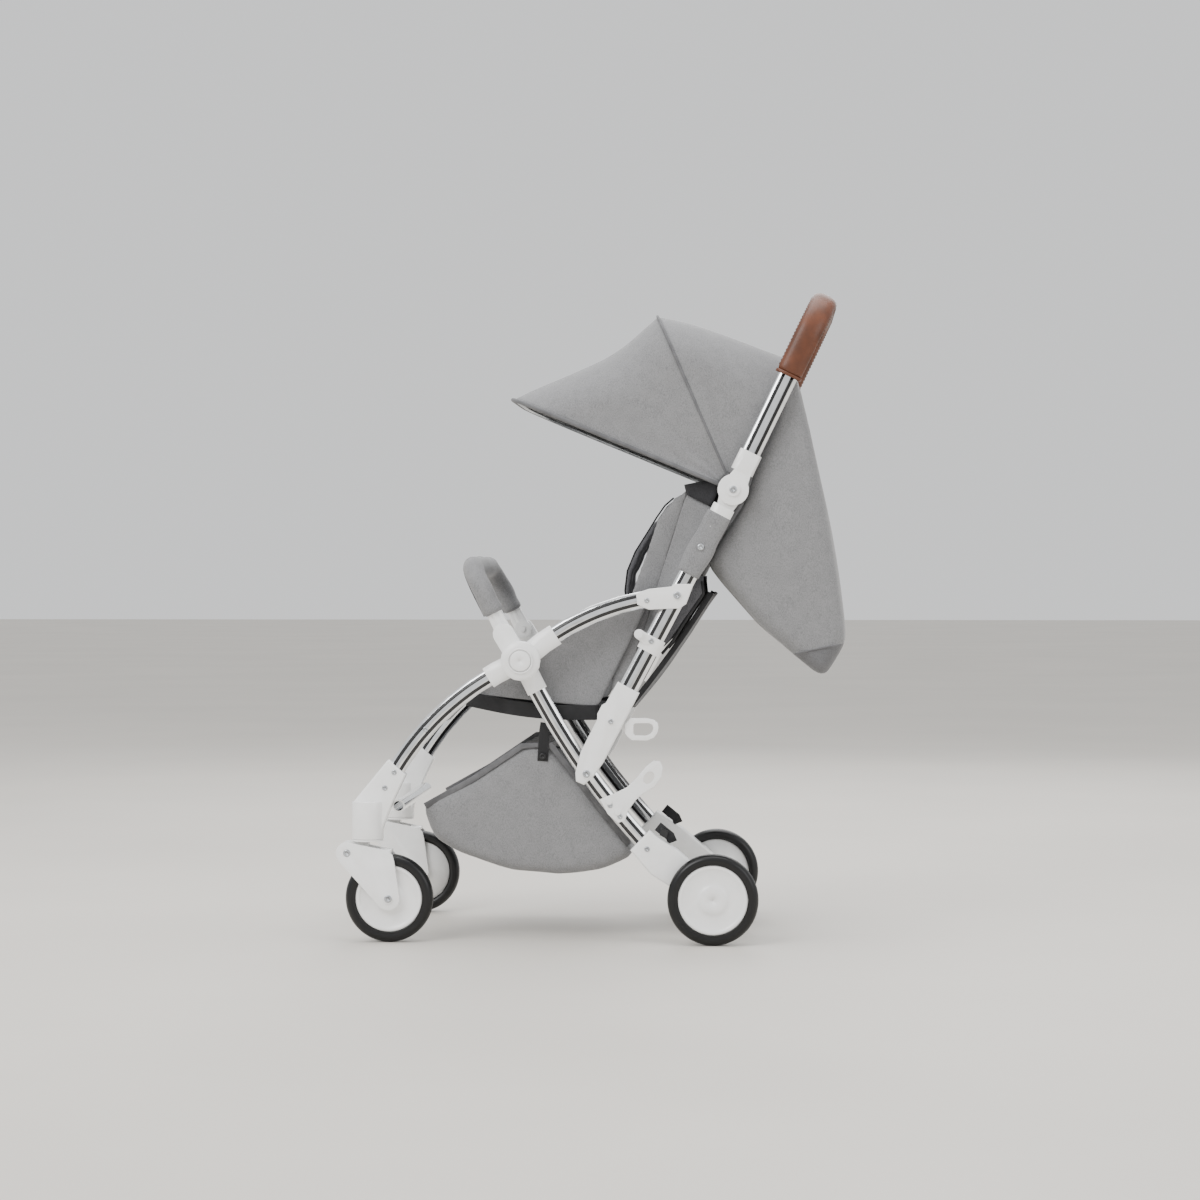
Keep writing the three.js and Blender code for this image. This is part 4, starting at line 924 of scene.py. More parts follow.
@dataclass
class Handle:
    """The handle's bent tube and its stitched leather grip."""

    corner: float = 70.0
    grip_from: float = 203.0

    def build(self) -> None:
        """Makes the tube, the grip, its seam and its end welts."""
        d = polar(HANDLE_ANGLE)
        normal = (-d[1], 0, d[0])
        path = hoop(HINGE, HANDLE_ANGLE, 35, HANDLE_REACH, TUBE_Y, self.corner, arc=14)
        bent = sweep(path, normal, oval(HANDLE_WIDTH, 2 * TUBE_HALF))
        tube = piece("handle_tube_bent", *bent, ALLOY, "handle")
        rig.replaces(tube, "handle_bar")
        around = hoop(HINGE, HANDLE_ANGLE, self.grip_from, HANDLE_REACH, TUBE_Y, self.corner, straight=8,
                      arc=16)
        grip = piece("leather_grip", *sweep(around, normal, lambda t: oval(*self.section(t), 40, 2.4)), HIDE,
                     "handle")
        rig.replaces(grip, "hand_grip")
        modify(grip, "SUBSURF", levels=1, render_levels=1)
        welts = [
            sweep([p + np.array([d[0], 0, d[1]]) * s for s in (-1.5, 0, 1.5, 3)], (0, 1, 0),
                  [(u * 1.05, v * 1.05) for u, v in oval(27, 42, 40, 2.4)])
            for p in (around[0], around[-1])
        ]
        piece("leather_grip_welts", *merge(welts), HIDE, "handle")
        self.seam(around, np.array(normal))

    @staticmethod
    def section(t: float) -> Point:
        """The grip's section: it swells a little along its length and is drawn in at both ends."""
        end = min(t, 1 - t)
        full = min(1.0, end / 0.012)
        return 42 * (0.94 + 0.06 * full), 27 * (0.92 + 0.08 * full)

    @staticmethod
    def seam(around: np.ndarray, normal: np.ndarray) -> None:
        """Stitches of a saddle seam along the grip's under side, 6 mm apart."""
        steps = np.concatenate([[0], np.cumsum(np.linalg.norm(np.diff(around, axis=0), axis=1))])
        stitches = []
        for s in np.arange(8, steps[-1] - 8, 6.0):
            at = np.array([np.interp(s, steps, around[:, k]) for k in range(3)])
            ahead = np.array([np.interp(s + 1, steps, around[:, k]) for k in range(3)]) - at
            for out in (-1, 1):
                foot = at + normal * (out * 20.8)
                line = [foot + ahead * e + normal * out * h for e,
                        h in ((-1.9, -0.5), (-1, 0.5), (1, 0.5), (1.9, -0.5))]
                stitches.append(sweep(line, np.cross(ahead, normal), oval(1.1, 1.1, 6, 2)))
        piece("leather_grip_stitches", *merge(stitches), THREAD, "handle")


# ------------------------------------------------------------------ soft parts
def skin(made: bpy.types.Object, thickness: float, offset: float = -1.0) -> None:
    """Gives a sheet its thickness in mm, inwards."""
    modify(made, "SOLIDIFY", thickness=thickness * MM, offset=offset)


def rounded(outline: Sequence[Sequence[float]]) -> list[np.ndarray]:
    """A closed outline with its corners cut twice, as sewn cloth rounds them."""
    points = [np.array(p, float) for p in outline]
    for share in (0.12, 0.25):
        points = [q for a, b in zip(points, points[1:] + points[:1]) for q in (a + (b - a) * share,
                b - (b - a) * share)]
    return points


def bag(name: str, outline: Sequence[Sequence[float]], half: float, opening: Sequence[Sequence[float]],
        reach: float,
        round_by: float, finish: Finish, bulge: float) -> bpy.types.Object:
    """A sewn bag: a side-view outline across the stroller, rounded, sagging and open along one line.

    Args:
        name: the piece's name.
        outline: side-view outline in mm.
        half: half its width.
        opening: a side-view line; the skin near it is left out.
        reach: how near.
        round_by: radius of its edges.
        finish: its cloth.
        bulge: how far its sides belly out.
    Returns:
        The new sheet, one skin thick.
    """
    rim = np.array(rounded(outline))
    ahead = np.roll(rim, -1, axis=0) - np.roll(rim, 1, axis=0)
    inward = np.stack([-ahead[:, 1], ahead[:, 0]], axis=1) / np.linalg.norm(ahead, axis=1, keepdims=True)
    turning = np.sum(rim[:, 0] * np.roll(rim[:, 1], -1) - rim[:, 1] * np.roll(rim[:, 0], -1))
    inward *= math.copysign(1, turning)
    rows = [[(p[0], side * (half - round_by + round_by * math.cos(a)),
              p[1]) for p in rim + inward * round_by * (1 - math.sin(a))]
            for side, turn in ((-1, np.linspace(0, math.pi / 2, 6)),
                               (1, np.linspace(math.pi / 2, 0, 6))) for a in turn]
    made = piece(name, *grid(rows, closed=True, caps=True), finish)
    modify(made, "REMESH", mode="VOXEL", voxel_size=7 * MM)
    modify(made, "SMOOTH", factor=0.5, iterations=8)
    p = points_of(made)
    work = bmesh.new()
    work.from_mesh(made.data)
    line = [np.array(q) for q in opening]

    def gap(v: bmesh.types.BMVert) -> float:
        """A point's distance from the opening's line in side view, in mm."""
        at = np.array([v.co.x, v.co.z]) / MM
        best = 1e9
        for a, b in zip(line, line[1:]):
            t = np.clip((at - a) @ (b - a) / ((b - a) @ (b - a)), 0, 1)
            best = min(best, float(np.linalg.norm(at - a - t * (b - a))))
        return best

    gaps = {v.index: gap(v) for v in work.verts}
    centre = p.mean(axis=0)
    spans = np.ptp(p, axis=0)
    for v in work.verts:
        belly = math.cos(math.pi * min(0.5, abs(v.co.x / MM - centre[0]) / spans[0])) * math.cos(
            math.pi * min(0.5, abs(v.co.z / MM - centre[2]) / spans[2]))
        v.co.y += math.copysign(bulge * belly * MM, v.co.y) * min(1, abs(v.co.y / MM) / half)
    gone = [f for f in work.faces if all(gaps[v.index] < reach for v in f.verts)]
    bmesh.ops.delete(work, geom=gone, context="FACES")
    work.to_mesh(made.data)
    work.free()
    return made


def report_area(made: bpy.types.Object) -> None:
    """Logs a sheet's area while it is still one layer."""
    log.info("%s: %.4f m2", made.name, sum(f.area for f in made.data.polygons))


@dataclass
class Canopy:
    """The sun canopy: a front and a rear panel between three hoops."""

    angles: tuple = (157.4, 113.5, 63.0)
    reaches: tuple = (391.0, 312.0, 236.0)
    half: float = 188.4
    corner: float = 92.0

    def panel(self, name: str, first: int, sag: float, flutes: float) -> bpy.types.Object:
        """One panel, stretched between two hoops and sagging between them."""
        (a0, a1), (r0, r1) = self.angles[first : first + 2], self.reaches[first : first + 2]
        rows = []
        for f in np.linspace(0, 1, 19):
            r = r0 + (r1 - r0) * f - sag * math.sin(math.pi * f)
            ring = hoop(HINGE, a0 + (a1 - a0) * f, 26, r, self.half - 3.0 * math.sin(math.pi * f),
                        self.corner, 16, 12, 12)
            run = np.linspace(0, 1, len(ring))
            near = np.exp(-((np.minimum(run, 1 - run) / 0.13) ** 2))
            ring[:, 1] *= 1 - 0.012 * near * math.sin(flutes * math.pi * f) ** 2
            rows.append(ring)
        made = piece(name, *grid(rows), GREY)
        wrinkle(made, 2.2, 90, 3.1 + first)
        modify(made, "SUBSURF", levels=1, render_levels=1)
        return made

    def edge(self, name: str, angle: float, reach: float, radius: float, finish: Finish,
             body: str) -> bpy.types.Object:
        """A bound or piped seam along one hoop."""
        ring = hoop(HINGE, angle, 22, reach + radius * 0.3, self.half, self.corner, 10, 12, 6)
        d = polar(angle)
        return piece(name, *sweep(ring, (-d[1], 0, d[0]), oval(radius * 2, radius * 2.4, 10, 2)), finish,
                     body)

    def build(self) -> None:
        """Makes both panels, the front hem and the ridge seam."""
        front = self.panel("canopy_front_cloth", 0, 47, 3)
        rear = self.panel("canopy_rear_cloth", 1, 27, 2)
        hem = self.edge("canopy_front_hem", self.angles[0], self.reaches[0], 3.4, BINDING, "canopy_front")
        ridge = self.edge("canopy_ridge_seam", self.angles[1], self.reaches[1], 2.2, BINDING, "canopy_middle")
        for made in (front, rear):
            report_area(made)
            skin(made, 1.2)
        tips = [polar(a, 0.75 * r) + HINGE for a, r in zip(self.angles, self.reaches)]
        at = lambda p: (p[0] * MM, 0.0, p[1] * MM)
        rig.blend(front, "canopy_middle", "canopy_front", at(tips[1] + 0.06 * (tips[0] - tips[1])),
                 at(tips[0] - 0.06 * (tips[0] - tips[1])))
        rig.blend(rear, "back_frame", "canopy_middle", at(tips[2] + 0.06 * (tips[1] - tips[2])),
                 at(tips[1] - 0.06 * (tips[1] - tips[2])))
        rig.replaces(front, "canopy_front_panel")
        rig.replaces(rear, "canopy_rear_panel")
        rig.sheet(front, (1.0, 0.36), "stretched", ["canopy_rib_front", "canopy_rib_middle"], area=0.161,
                 with_pieces=[hem])
        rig.sheet(rear, (0.85, 0.32), "stretched", ["canopy_rib_middle"], area=0.125, with_pieces=[ridge])


@dataclass
class Hood:
    """The deep hood behind the seat back, its seams and the sleeves that hold it to the back tubes."""

    half: float = 176.0
    outline: tuple = ((88, 208), (106, 172), (123, 106), (148, -21), (168, -130), (186, -244), (147, -306),
                      (99, -267), (39, -216), (-46, -116), (-16, -64), (12, -22), (22, 6), (36, 50),
                      (58, 110), (80, 190))
    seam: tuple = ((96, -264), (187, -245))
    opening: tuple = ((-46, -116), (-16, -64), (12, -22), (22, 6), (36, 50), (58, 110), (80, 190))

    def build(self) -> None:
        """Makes the hood."""
        shape = [HINGE + np.array(p) for p in self.outline]
        cloth = bag("rear_hood_cloth", shape, self.half, [HINGE + np.array(p) for p in self.opening], 4.5,
                    24, GREY, 4)
        wrinkle(cloth, 5, 90, 7.7, (0.7, 1.1, 0.35))
        seam_at = HINGE + np.array(self.seam[0])
        rise = np.array(self.seam[1]) - np.array(self.seam[0])
        work = bmesh.new()
        work.from_mesh(cloth.data)
        everything = work.verts[:] + work.edges[:] + work.faces[:]
        bmesh.ops.bisect_plane(work, geom=everything, dist=1e-5, plane_no=(-rise[1], 0, rise[0]),
                               plane_co=(seam_at[0] * MM, 0, seam_at[1] * MM))
        work.to_mesh(cloth.data)
        work.free()
        report_area(cloth)
        skin(cloth, 1.4)
        cloth.data.materials.append(SHADE.material())
        for face in cloth.data.polygons:
            offset = np.array(face.center)[[0, 2]] / MM - seam_at
            face.material_index = int(offset[1] * rise[0] < offset[0] * rise[1])
        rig.ride(cloth, "back_frame")
        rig.replaces(cloth, "rear_hood")
        seams = []
        for side in (-1, 1):
            edge = [HINGE + np.array(p) for p in self.opening]
            seams.append(sweep(side_path(edge, side * (self.half - 3)), (0, 1, 0), oval(4, 9, 12, 4)))
            line = [HINGE + np.array(p) for p in ((99, -263.4), (140, -254.8), (172, -248))]
            seams.append(sweep(side_path(line, side * (self.half + 0.2)), (0, 1, 0), oval(2.2, 2.4, 8, 2)))
        seam = piece("rear_hood_seams", *merge(seams), BINDING, "back_frame")
        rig.sheet(cloth, (1.15, 0.9), "hung", ["back_tube_left", "back_tube_right"], area=0.391,
                 with_pieces=[seam])

    def sleeves(self) -> None:
        """Cloth sleeves wrapped round the back tubes, each closed with a snap."""
        for word, side in SIDES.items():

            def section(t: float, side: int = side) -> list[Point]:
                """The sleeve's section, gathered at both ends and rumpled between."""
                swell_by = 1 + 0.10 * math.sin(math.pi * t) + 0.05 * math.sin(9 * t + side)
                return oval(19.5 * swell_by, 38 * swell_by, 28, 2.4)

            path = side_path(BACK_TUBE.span(362, 470, 26, 1), side * TUBE_Y)
            wrap = piece(f"back_tube_sleeve_{word}", *sweep(path, (0, 1, 0), section, caps=False), GREY)
            wrinkle(wrap, 1.4, 30, 1.3 * side)
            skin(wrap, 1.4)
            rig.ride(wrap, "back_frame")
            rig.sheet(wrap, (0.125, 0.11), "folded", [f"back_tube_{word}"])
            snap = fixing(Fixing.SNAP, BACK_TUBE.at(410, 3), side * (TUBE_Y + 11.4), side)
            piece(f"sleeve_snap_{word}", *snap, STEEL, "back_frame")


@dataclass
class Seat:
    """The seat's sling, side panels, binding, cushion, seat back, pads and harness."""

    panel_y: float = 158.0

    def side_panels(self) -> None:
        """The cloth between armrest and seat on each side, and the black band below it."""
        top = [HUB + np.array(p) for p in ((-74, -44), (-40, -14), (4, 6))] + ARMREST.span(40,
                ARMREST.run() - 40, 8, 6)
        low = [SEAT.at(s, 2) for s in np.linspace(20, SEAT.run() - 2, len(top))]
        for word, side in SIDES.items():
            rows = []
            for f in np.linspace(0, 1, 14):
                row = []
                for k, (a, b) in enumerate(zip(low, top)):
                    p = np.array(a) * (1 - f) + np.array(b) * f
                    belly = 9 * math.sin(math.pi * f) * math.sin(math.pi * k / (len(top) - 1))
                    row.append((p[0], side * (self.panel_y - belly + 10 * f * f), p[1]))
                rows.append(row)
            panel = piece(f"seat_side_{word}", *grid(rows), GREY)
            modify(panel, "SUBSURF", levels=2, render_levels=2)
            wrinkle(panel, 3, 60, 5 + side)
            report_area(panel)
            skin(panel, 2.0, 0.0)
            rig.ride(panel, "front_frame")
            if word == "left":
                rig.replaces(panel, "seat_shell")
            hem = piece(f"seat_side_hem_{word}",
                        *sweep([(p[0], side * (self.panel_y + 10), p[1]) for p in top],
                                                       (0, 1, 0), oval(3.6, 5, 10,
                                                               2)), BINDING, "front_frame")
            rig.sheet(panel, (0.34, 0.16), "stretched", [f"armrest_tube_{word}"], area=0.026,
                     with_pieces=[hem])
            band = [SEAT.at(s, -6 - 8 * math.sin(math.pi * (s - 8) / 216)) for s in np.linspace(8,
                    SEAT.run() + 2, 24)]
            piece(f"seat_band_{word}",
                  *sweep(side_path(band, side * (SEAT_HALF + 1.4)), (0, 1, 0), oval(3.2, 24, 20, 6)),
                  TAPE, "front_frame")

    def sling(self) -> None:
        """The seat's cloth floor."""
        rows = []
        for s in np.linspace(-3, SEAT.run() + 14, 22):
            hang = [(y, SEAT.at(s,
                                -3 - 6 * math.cos(math.pi * y / 2 / SEAT_HALF)))
                                                  for y in np.linspace(-SEAT_HALF, SEAT_HALF, 22)]
            rows.append([(p[0], y, p[1]) for y, p in hang])
        floor = piece("seat_floor", *grid(rows), LINING)
        report_area(floor)
        skin(floor, 4.0)
        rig.ride(floor, "front_frame")
        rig.sheet(floor, (0.325, 0.245), "stretched", ["seat_band_left"], area=0.0766)

    def cushion(self) -> None:
        """The seat cushion, in three sewn channels."""
        shape = [SEAT.at(s, n) for s,
                 n in ((9, 3), (SEAT.run() - 21, 3), (SEAT.run() - 21, 15), (SEAT.run() - 34, 18), (28, 18),
                       (9, 12))]
        pad = piece("seat_cushion_pad", *block(shape, -140, 140), GREY)
        swell(pad, 6, 7)
        for s in (70, 135):
            x = SEAT.at(s)[0]
            channel(pad, lambda p, x=x: p[:, 0] - x, 5, 5, (0.1, 0, 1))
        for y in (-70, 70):
            channel(pad, lambda p, y=y: p[:, 1] - y, 5, 4, (0.1, 0, 1))
        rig.ride(pad, "front_frame")
        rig.replaces(pad, "seat_cushion")
        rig.padded(pad, 0.55)

    def seat_back(self) -> None:
        """The reclining seat back: a shell with wings, its pad and the harness on it."""
        wing = ((6, -4), (364, -4), (352, 12), (308, 29), (150, 35), (60, 34), (16, 14))
        outline = [BACKREST.at(s, n) for s, n in wing]
        parts = [block([BACKREST.at(s, n) for s, n in ((0, -5), (367, -5), (367, 2), (0, 2))], -153, 153)]
        parts += [block(outline, *sorted((side * 147, side * 154))) for side in (-1, 1)]
        shell = piece("seat_back_shell", *merge(parts), GREY)
        modify(shell, "REMESH", mode="VOXEL", voxel_size=4.5 * MM)
        modify(shell, "SMOOTH", factor=0.5, iterations=5)
        wrinkle(shell, 2.5, 70, 9.4)
        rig.ride(shell, "seat_back")
        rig.replaces(shell, "backrest_board")
        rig.padded(shell, 0.3)
        front = [BACKREST.at(s, n) for s, n in ((26, 4), (354, 4), (350, 12), (336, 16), (38, 16), (26, 11))]
        pad = piece("seat_back_pad", *block(front, -143, 143), GREY)
        swell(pad, 6, 6)
        d = polar(BACKREST_ANGLE)
        face = (-d[1], 0, d[0])
        along = lambda p: (p[:, [0, 2]] - BACKREST_BASE) @ d
        for s in (95, 180, 265):
            channel(pad, lambda p, s=s: along(p) - s, 5, 5, face)
        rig.ride(pad, "seat_back")
        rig.replaces(pad, "backrest_pad")
        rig.padded(pad, 0.5)
        self.harness(face)
        self.wings()

    @staticmethod
    def wings() -> None:
        """The cloth that joins the seat back to the back tubes, and the black sheets above it, which paint the shadow
        inside the canopy.
        """
        for word, side in SIDES.items():
            rows = []
            for f in np.linspace(0, 1, 16):
                a, b = BACKREST.at(90 + 272 * f, -3), BACK_TUBE.at(262 + 212 * f,
                        4 + 8 * math.sin(math.pi * f))
                rows.append([(*(a + (b - a) * t)[:1], side * (152.5 + 33 * t - 7 * math.sin(math.pi * t)),
                              (a + (b - a) * t)[1])
                             for t in np.linspace(0, 1, 12)])
            wing = piece(f"seat_wing_{word}", *grid(rows), GREY)
            modify(wing, "SUBSURF", levels=1, render_levels=1)
            wrinkle(wing, 4, 55, 8 + side, (1, 1, 0.5))
            report_area(wing)
            skin(wing, 1.6, 0.0)
            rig.blend(wing, "seat_back", "back_frame", (0.09, 0, 0.60), (0.155, 0, 0.577))
            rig.sheet(wing, (0.28, 0.12), "stretched", [f"back_tube_{word}"], area=0.0119)
        # Black side sheets under the canopy: painted shadow of the canopy's inside.
        for word, side in SIDES.items():
            rows = [[(a[0] + (b[0] - a[0]) * t, side * (154 + 24 * f),
                      a[1] + (b[1] - a[1]) * t) for t in np.linspace(0, 1, 6)]
                    for f in np.linspace(0, 1, 8)
                    for a, b in [(np.array([150 + 40 * f, 722 - 20 * f]),
                                  np.array([146 + 64 * f, 738 + 12 * f]))]]
            flap = piece(f"canopy_side_curtain_{word}", *grid(rows), LINING)
            skin(flap, 1.4)
            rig.blend(flap, "seat_back", "back_frame", *ABOVE_SEAT)
        # A black sheet across, under the canopy: painted shadow of the canopy's inside.
        rows = [[(150 + 52 * t + 4 * math.cos(math.pi * y / 310), y,
                  722 + 26 * t - 10 * math.sin(math.pi * t))
                 for t in np.linspace(0, 1, 8)] for y in np.linspace(-150, 150, 24)]
        shadow_sheet = piece("canopy_curtain", *grid(rows), LINING)
        report_area(shadow_sheet)
        skin(shadow_sheet, 1.4)
        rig.blend(shadow_sheet, "seat_back", "back_frame", *ABOVE_SEAT)
        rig.sheet(shadow_sheet, (0.31, 0.065), "hung", ["canopy_rear_cloth"], area=0.0184)

    @staticmethod
    def harness(face: Sequence[float]) -> None:
        """Shoulder pads with webbing through them, the crotch strap and the buckle."""
        pads = []
        for y in (-61, 61):
            hang = ((152, 27), (178, 40), (210, 47), (246, 44), (280, 33), (308, 25))
            block_of = [BACKREST.at(s, n) for s, n in hang] + [BACKREST.at(s, n + 6) for s, n in hang[::-1]]
            one = piece(f"shoulder_pad_{'left' if y < 0 else 'right'}", *block(block_of, y - 19, y + 19),
                        DARK)
            swell(one, 4, 5)
            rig.ride(one, "seat_back")
            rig.padded(one, 0.5)
            pads.append(one)
            strap = [BACKREST.at(s, n) for s,
                     n in ((70, 24), (110, 27), (152, 36), (180, 49), (212, 55), (246, 52), (284, 42),
                           (312, 35), (334, 28), (350, 18))]
            piece(f"shoulder_strap_{'left' if y < 0 else 'right'}",
                  *sweep(side_path(strap, y), (0, 1, 0), oval(25, 2, 20, 8)), TAPE, "seat_back")
        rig.replaces(pads[0], "harness_pads")
        line = [SEAT.at(s, n) for s, n in ((30, 22), (60, 27), (100, 28.5), (130, 28.5))]
        piece("crotch_strap", *sweep(side_path(line, 0), (0, 1, 0), oval(34, 2.2, 20, 8)), TAPE,
              "front_frame")
        shape = [SEAT.at(s, n) for s,
                 n in ((118, 25), (180, 25), (180, 32), (170, 35.5), (128, 35.5), (118, 32))]
        body = soften(piece("harness_buckle_body", *block(shape, -25, 25), NYLON), 2.6)
        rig.ride(body, "front_frame")
        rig.replaces(body, "harness_buckle")
        button = soften(piece("harness_buckle_button",
                              *block([SEAT.at(s, n) for s,
                                      n in ((136, 34), (162, 34), (160, 37.4),
                                            (138, 37.4))], -10, 10), STEEL), 1.2)
        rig.ride(button, "front_frame")

    def calf_rest(self) -> None:
        """The padded flap between the front legs."""
        top, low = np.array([-218.0, 394.0]), np.array([-279.0, 330.8])
        shape = [top + (-2, -2), top + (-15, 0), low + (-8, 14), low + (-3, 6), low + (4, 9)]
        pad = piece("calf_rest_pad", *block(shape, -154, 154), GREY)
        swell(pad, 5, 5)
        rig.ride(pad, "front_frame")
        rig.replaces(pad, "calf_rest")
        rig.padded(pad, 0.5)

    def rear_cloth(self) -> None:
        """The dark cloth that closes the seat behind the back tubes, with its black binding."""
        low = np.array([52.67, 371.85])
        line = [low, low + (25, 26), low + (53, 61), low + (91, 119), low + (118, 158), low + (137, 191)]
        path = Line(tuple(line[0]), tuple(line[-1]), -4)
        rows = [[(p[0] + 7 * math.cos(math.pi * y / 312), y, p[1]) for y in np.linspace(-156, 156, 22)]
                for p in path.span(0, path.run(), 18)]
        cloth = piece("seat_rear_cloth", *grid(rows), DARK)
        wrinkle(cloth, 4, 70, 2.2)
        report_area(cloth)
        skin(cloth, 1.6)
        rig.blend(cloth, "front_frame", "back_frame", *BEHIND_SEAT)
        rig.replaces(cloth, "rear_sling")
        edges = [sweep(side_path(path.span(0, path.run(), 14), side * 156), (0, 1, 0),
                       oval(3, 9, 12, 4)) for side in (-1, 1)]
        binding = piece("seat_rear_binding", *merge(edges), TAPE)
        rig.blend(binding, "front_frame", "back_frame", *BEHIND_SEAT)
        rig.sheet(cloth, (0.33, 0.25), "stretched", ["back_tube_left"], area=0.0735, with_pieces=[binding])
        for word, side in SIDES.items():
            flap = [BACK_TUBE.at(362, -10), BACK_TUBE.at(345, -22), BACK_TUBE.at(300, -17),
                    BACK_TUBE.at(255, -14), BACK_TUBE.at(228, -8)]
            piece(f"rear_flap_{word}",
                  *sweep(side_path(flap, side * 176), (0, 1, 0),
                         lambda t: oval(2.4, 30 * (1 - 0.6 * t), 18, 5)),
                  DARK, "back_frame")
            piece(f"rear_flap_binding_{word}",
                  *sweep([(p[0] + 12, side * 176, p[1] - 6) for p in flap], (0, 1, 0), oval(3.4, 5, 10, 3)),
                  TAPE, "back_frame")


@dataclass
class Basket:
    """The shopping basket under the seat, its hem and hanging straps."""

    half: float = 164.0
    outline: tuple = ((-166, -235), (-83, -193), (-2, -138), (44, -135), (180, -306), (176, -320),
                      (131, -342), (57, -350), (-17, -344), (-105, -316), (-145, -290))

    def build(self) -> None:
        """Makes the basket."""
        shape = [HUB + np.array(p) for p in self.outline]
        top = [HUB + np.array(p) for p in ((-160, -236), (-83, -193), (-2, -138), (44, -135), (172, -298))]
        cloth = bag("basket_cloth", shape, self.half, top, 4.5, 18, GREY, 3)
        wrinkle(cloth, 3, 80, 4.4)
        report_area(cloth)
        skin(cloth, 1.4)
        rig.blend(cloth, "rear_frame", "front_frame", *UNDER_SEAT)
        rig.replaces(cloth, "basket")
        hems = []
        for side in (-1, 1):
            hems.append(sweep([(p[0], side * (self.half - 4), p[1] - 2) for p in top], (0, 1, 0),
                              oval(5, 10, 12, 4)))
        hem = piece("basket_hem", *merge(hems), BINDING)
        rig.blend(hem, "rear_frame", "front_frame", *UNDER_SEAT)
        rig.sheet(cloth, (0.75, 0.55), "hung", ["rear_leg_left", "rear_leg_right"], area=0.229,
                 with_pieces=[hem])
        for word, side in SIDES.items():
            strap = [np.array(p) for p in ((-78, 352), (-80, 340), (-81, 324), (-82, 306), (-83, 290))]
            tape = piece(f"basket_strap_{word}",
                         *sweep(side_path(strap, side * 163.5), (0, 1, 0), oval(2.2, 17, 16, 8)), TAPE)
            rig.blend(tape, "front_frame", "rear_frame", (-0.08, 0, 0.345), (-0.083, 0, 0.30))
            piece(f"basket_snap_{word}", *fixing(Fixing.SNAP, (-83, 298), side * 165.2, side), NYLON,
                  "rear_frame")
            loop = [np.array(p) for p in ((104, 186), (114, 178), (124, 170), (128, 160))]
            piece(f"leg_strap_{word}", *sweep(side_path(loop, side * 173), (0, 1, 0), oval(3, 16, 14, 6)),
                  TAPE, "rear_frame")
            shape = [(110, 184), (122, 178), (118, 166), (107, 172)]
            buckle = block(shape, *sorted((side * 173, side * 179)))
            clip = soften(piece(f"leg_strap_clip_{word}", *buckle, NYLON), 1.2)
            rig.ride(clip, "rear_frame")


@dataclass
class Bumper:
    """The bumper bar and its quilted cloth cover."""

    pivot: tuple = (-143.0, 497.0)
    angle: float = 117.4
    reach: float = 122.0
    half: float = 181.0

    def build(self) -> None:
        """Makes the bar's arms, the cover and its seam."""
        d = polar(self.angle)
        normal = (-d[1], 0, d[0])
        path = hoop(self.pivot, self.angle, 36, self.reach, self.half, 58, 8, 14, 14)

        def section(t: float) -> list[Point]:
            """The cover's round section, gathered at its ends."""
            end = min(1.0, min(t, 1 - t) / 0.03)
            r = 34 * (0.80 + 0.20 * math.sqrt(end)) * (1 + 0.012 * math.sin(60 * t))
            return oval(r, r, 28, 2.0)

        cover = piece("bumper_cover_cloth", *sweep(path, normal, section), GREY)
        modify(cover, "SUBSURF", levels=1, render_levels=1)
        wrinkle(cover, 1.6, 30, 6.1)
        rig.ride(cover, "bumper")
        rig.replaces(cover, "bumper_cover")
        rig.padded(cover, 0.8)
        for word, side in SIDES.items():
            arm = [(self.pivot[0] + d[0] * s, side * 180.5,
                    self.pivot[1] + d[1] * s) for s in np.linspace(-8, 40, 14)]
            piece(f"bumper_arm_{word}", *sweep(arm, (0, 1, 0), lambda t: oval(13.5, 29 - 5 * t, 28, 3.0)),
                  GLOSS_ABS, "bumper")
        seam = [p + np.array(normal) * 16.9 for p in path]
        piece("bumper_cover_seam", *sweep(seam[1:-1], normal, oval(1.6, 3.4, 8, 2)), BINDING, "bumper")


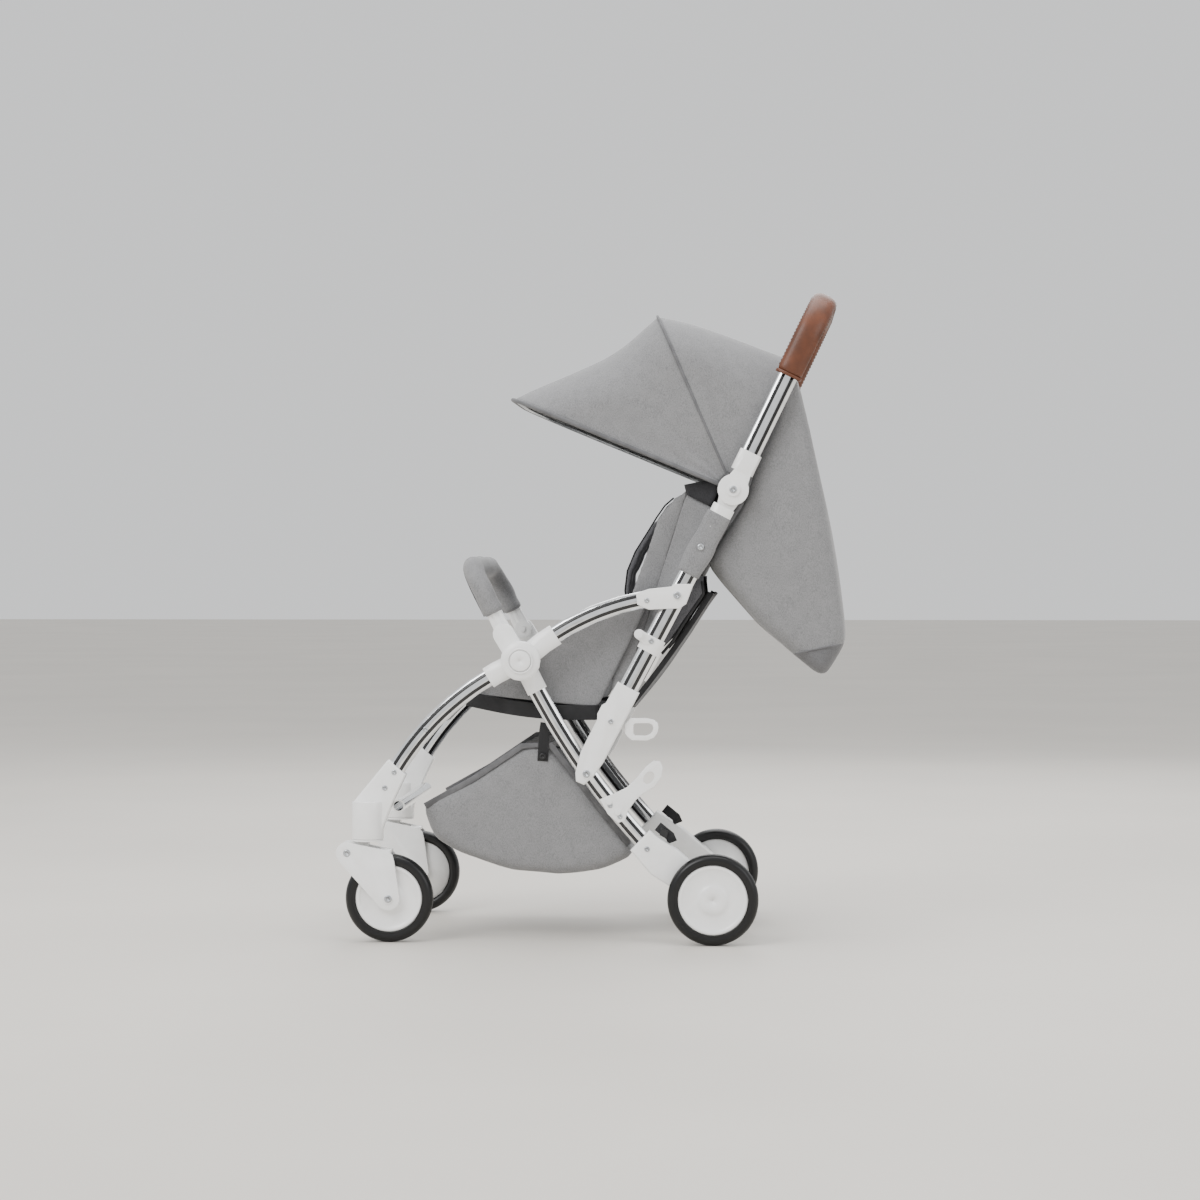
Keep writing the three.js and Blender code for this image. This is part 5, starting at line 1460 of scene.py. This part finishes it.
# ------------------------------------------------------------------ studio
@dataclass
class Studio:
    """A pale floor, soft lights and the camera."""

    at: tuple = (0.259, -4.670, 0.597)
    turned: float = 3.16
    down: float = 0.58
    lens: float = 83.6

    def build(self) -> None:
        """Sets the camera, the floor and the lights."""
        camera = bpy.data.objects.new("camera", bpy.data.cameras.new("camera"))
        camera.location = self.at
        camera.rotation_euler = (math.radians(90 - self.down), 0, math.radians(self.turned))
        camera.data.lens, camera.data.sensor_width, camera.data.clip_end = self.lens, 36.0, 200
        bpy.context.scene.collection.objects.link(camera)
        bpy.context.scene.camera = camera
        floor = piece("floor", [(-3e4, -3e4, 0), (3e4, -3e4, 0), (3e4, 3e4, 0), (-3e4, 3e4, 0)],
                      [(0, 1, 2, 3)],
                      Finish("pale_floor", "white_plastic", "#D8D3CB", "#D2CDC5", 0.6, grain_mm=40,
                             grain_mm_deep=0.01, spread_mm=900))
        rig.stage(floor)
        world = bpy.context.scene.world or bpy.data.worlds.new("world")
        bpy.context.scene.world = world
        world.use_nodes = True
        world.node_tree.nodes["Background"].inputs["Color"].default_value = linear("#F1F2F3")
        world.node_tree.nodes["Background"].inputs["Strength"].default_value = 1.05
        for name, place_at, size, power in (("key", (-2.4, -3.2, 3.4), 2.6, 150),
                                            ("fill", (3.2, -2.6, 2.0), 2.4, 40),
                                            ("top", (0.2, 0.3, 3.8), 3.0, 110), ("back", (0.6, 3.4, 2.6),
                                                    2.6, 60)):
            light = bpy.data.objects.new(name, bpy.data.lights.new(name, "AREA"))
            light.data.energy, light.data.size = power, size
            light.location = place_at
            light.rotation_euler = (Vector((0, 0, 0.55)) - Vector(place_at)).to_track_quat("-Z",
                    "Y").to_euler()
            light.visible_camera = False
            bpy.context.scene.collection.objects.link(light)


def main() -> None:
    logging.basicConfig(level=logging.INFO, format="%(name)s: %(message)s")
    for name in ("Cube", "Light", "Camera"):
        if name in bpy.data.objects and name not in frame["nodes"]:
            bpy.data.objects.remove(bpy.data.objects[name])
    bpy.context.view_layer.update()
    cad = [list(corner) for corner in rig.bounds()]
    Studio().build()
    dress = FrameDress()
    dress.grooves()
    dress.screws()
    dress.hub_caps()
    Wheels().build()
    Handle().build()
    Canopy().build()
    hood = Hood()
    hood.build()
    hood.sleeves()
    seat = Seat()
    seat.side_panels()
    seat.sling()
    seat.cushion()
    seat.seat_back()
    seat.calf_rest()
    seat.rear_cloth()
    Basket().build()
    Bumper().build()
    dress.nodes()
    bpy.context.view_layer.update()
    visual = [list(corner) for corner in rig.bounds()]
    with open("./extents.json", "w", encoding="utf-8") as out:
        json.dump({"cad": cad, "visual": visual}, out)


if __name__ == "__main__":
    main()
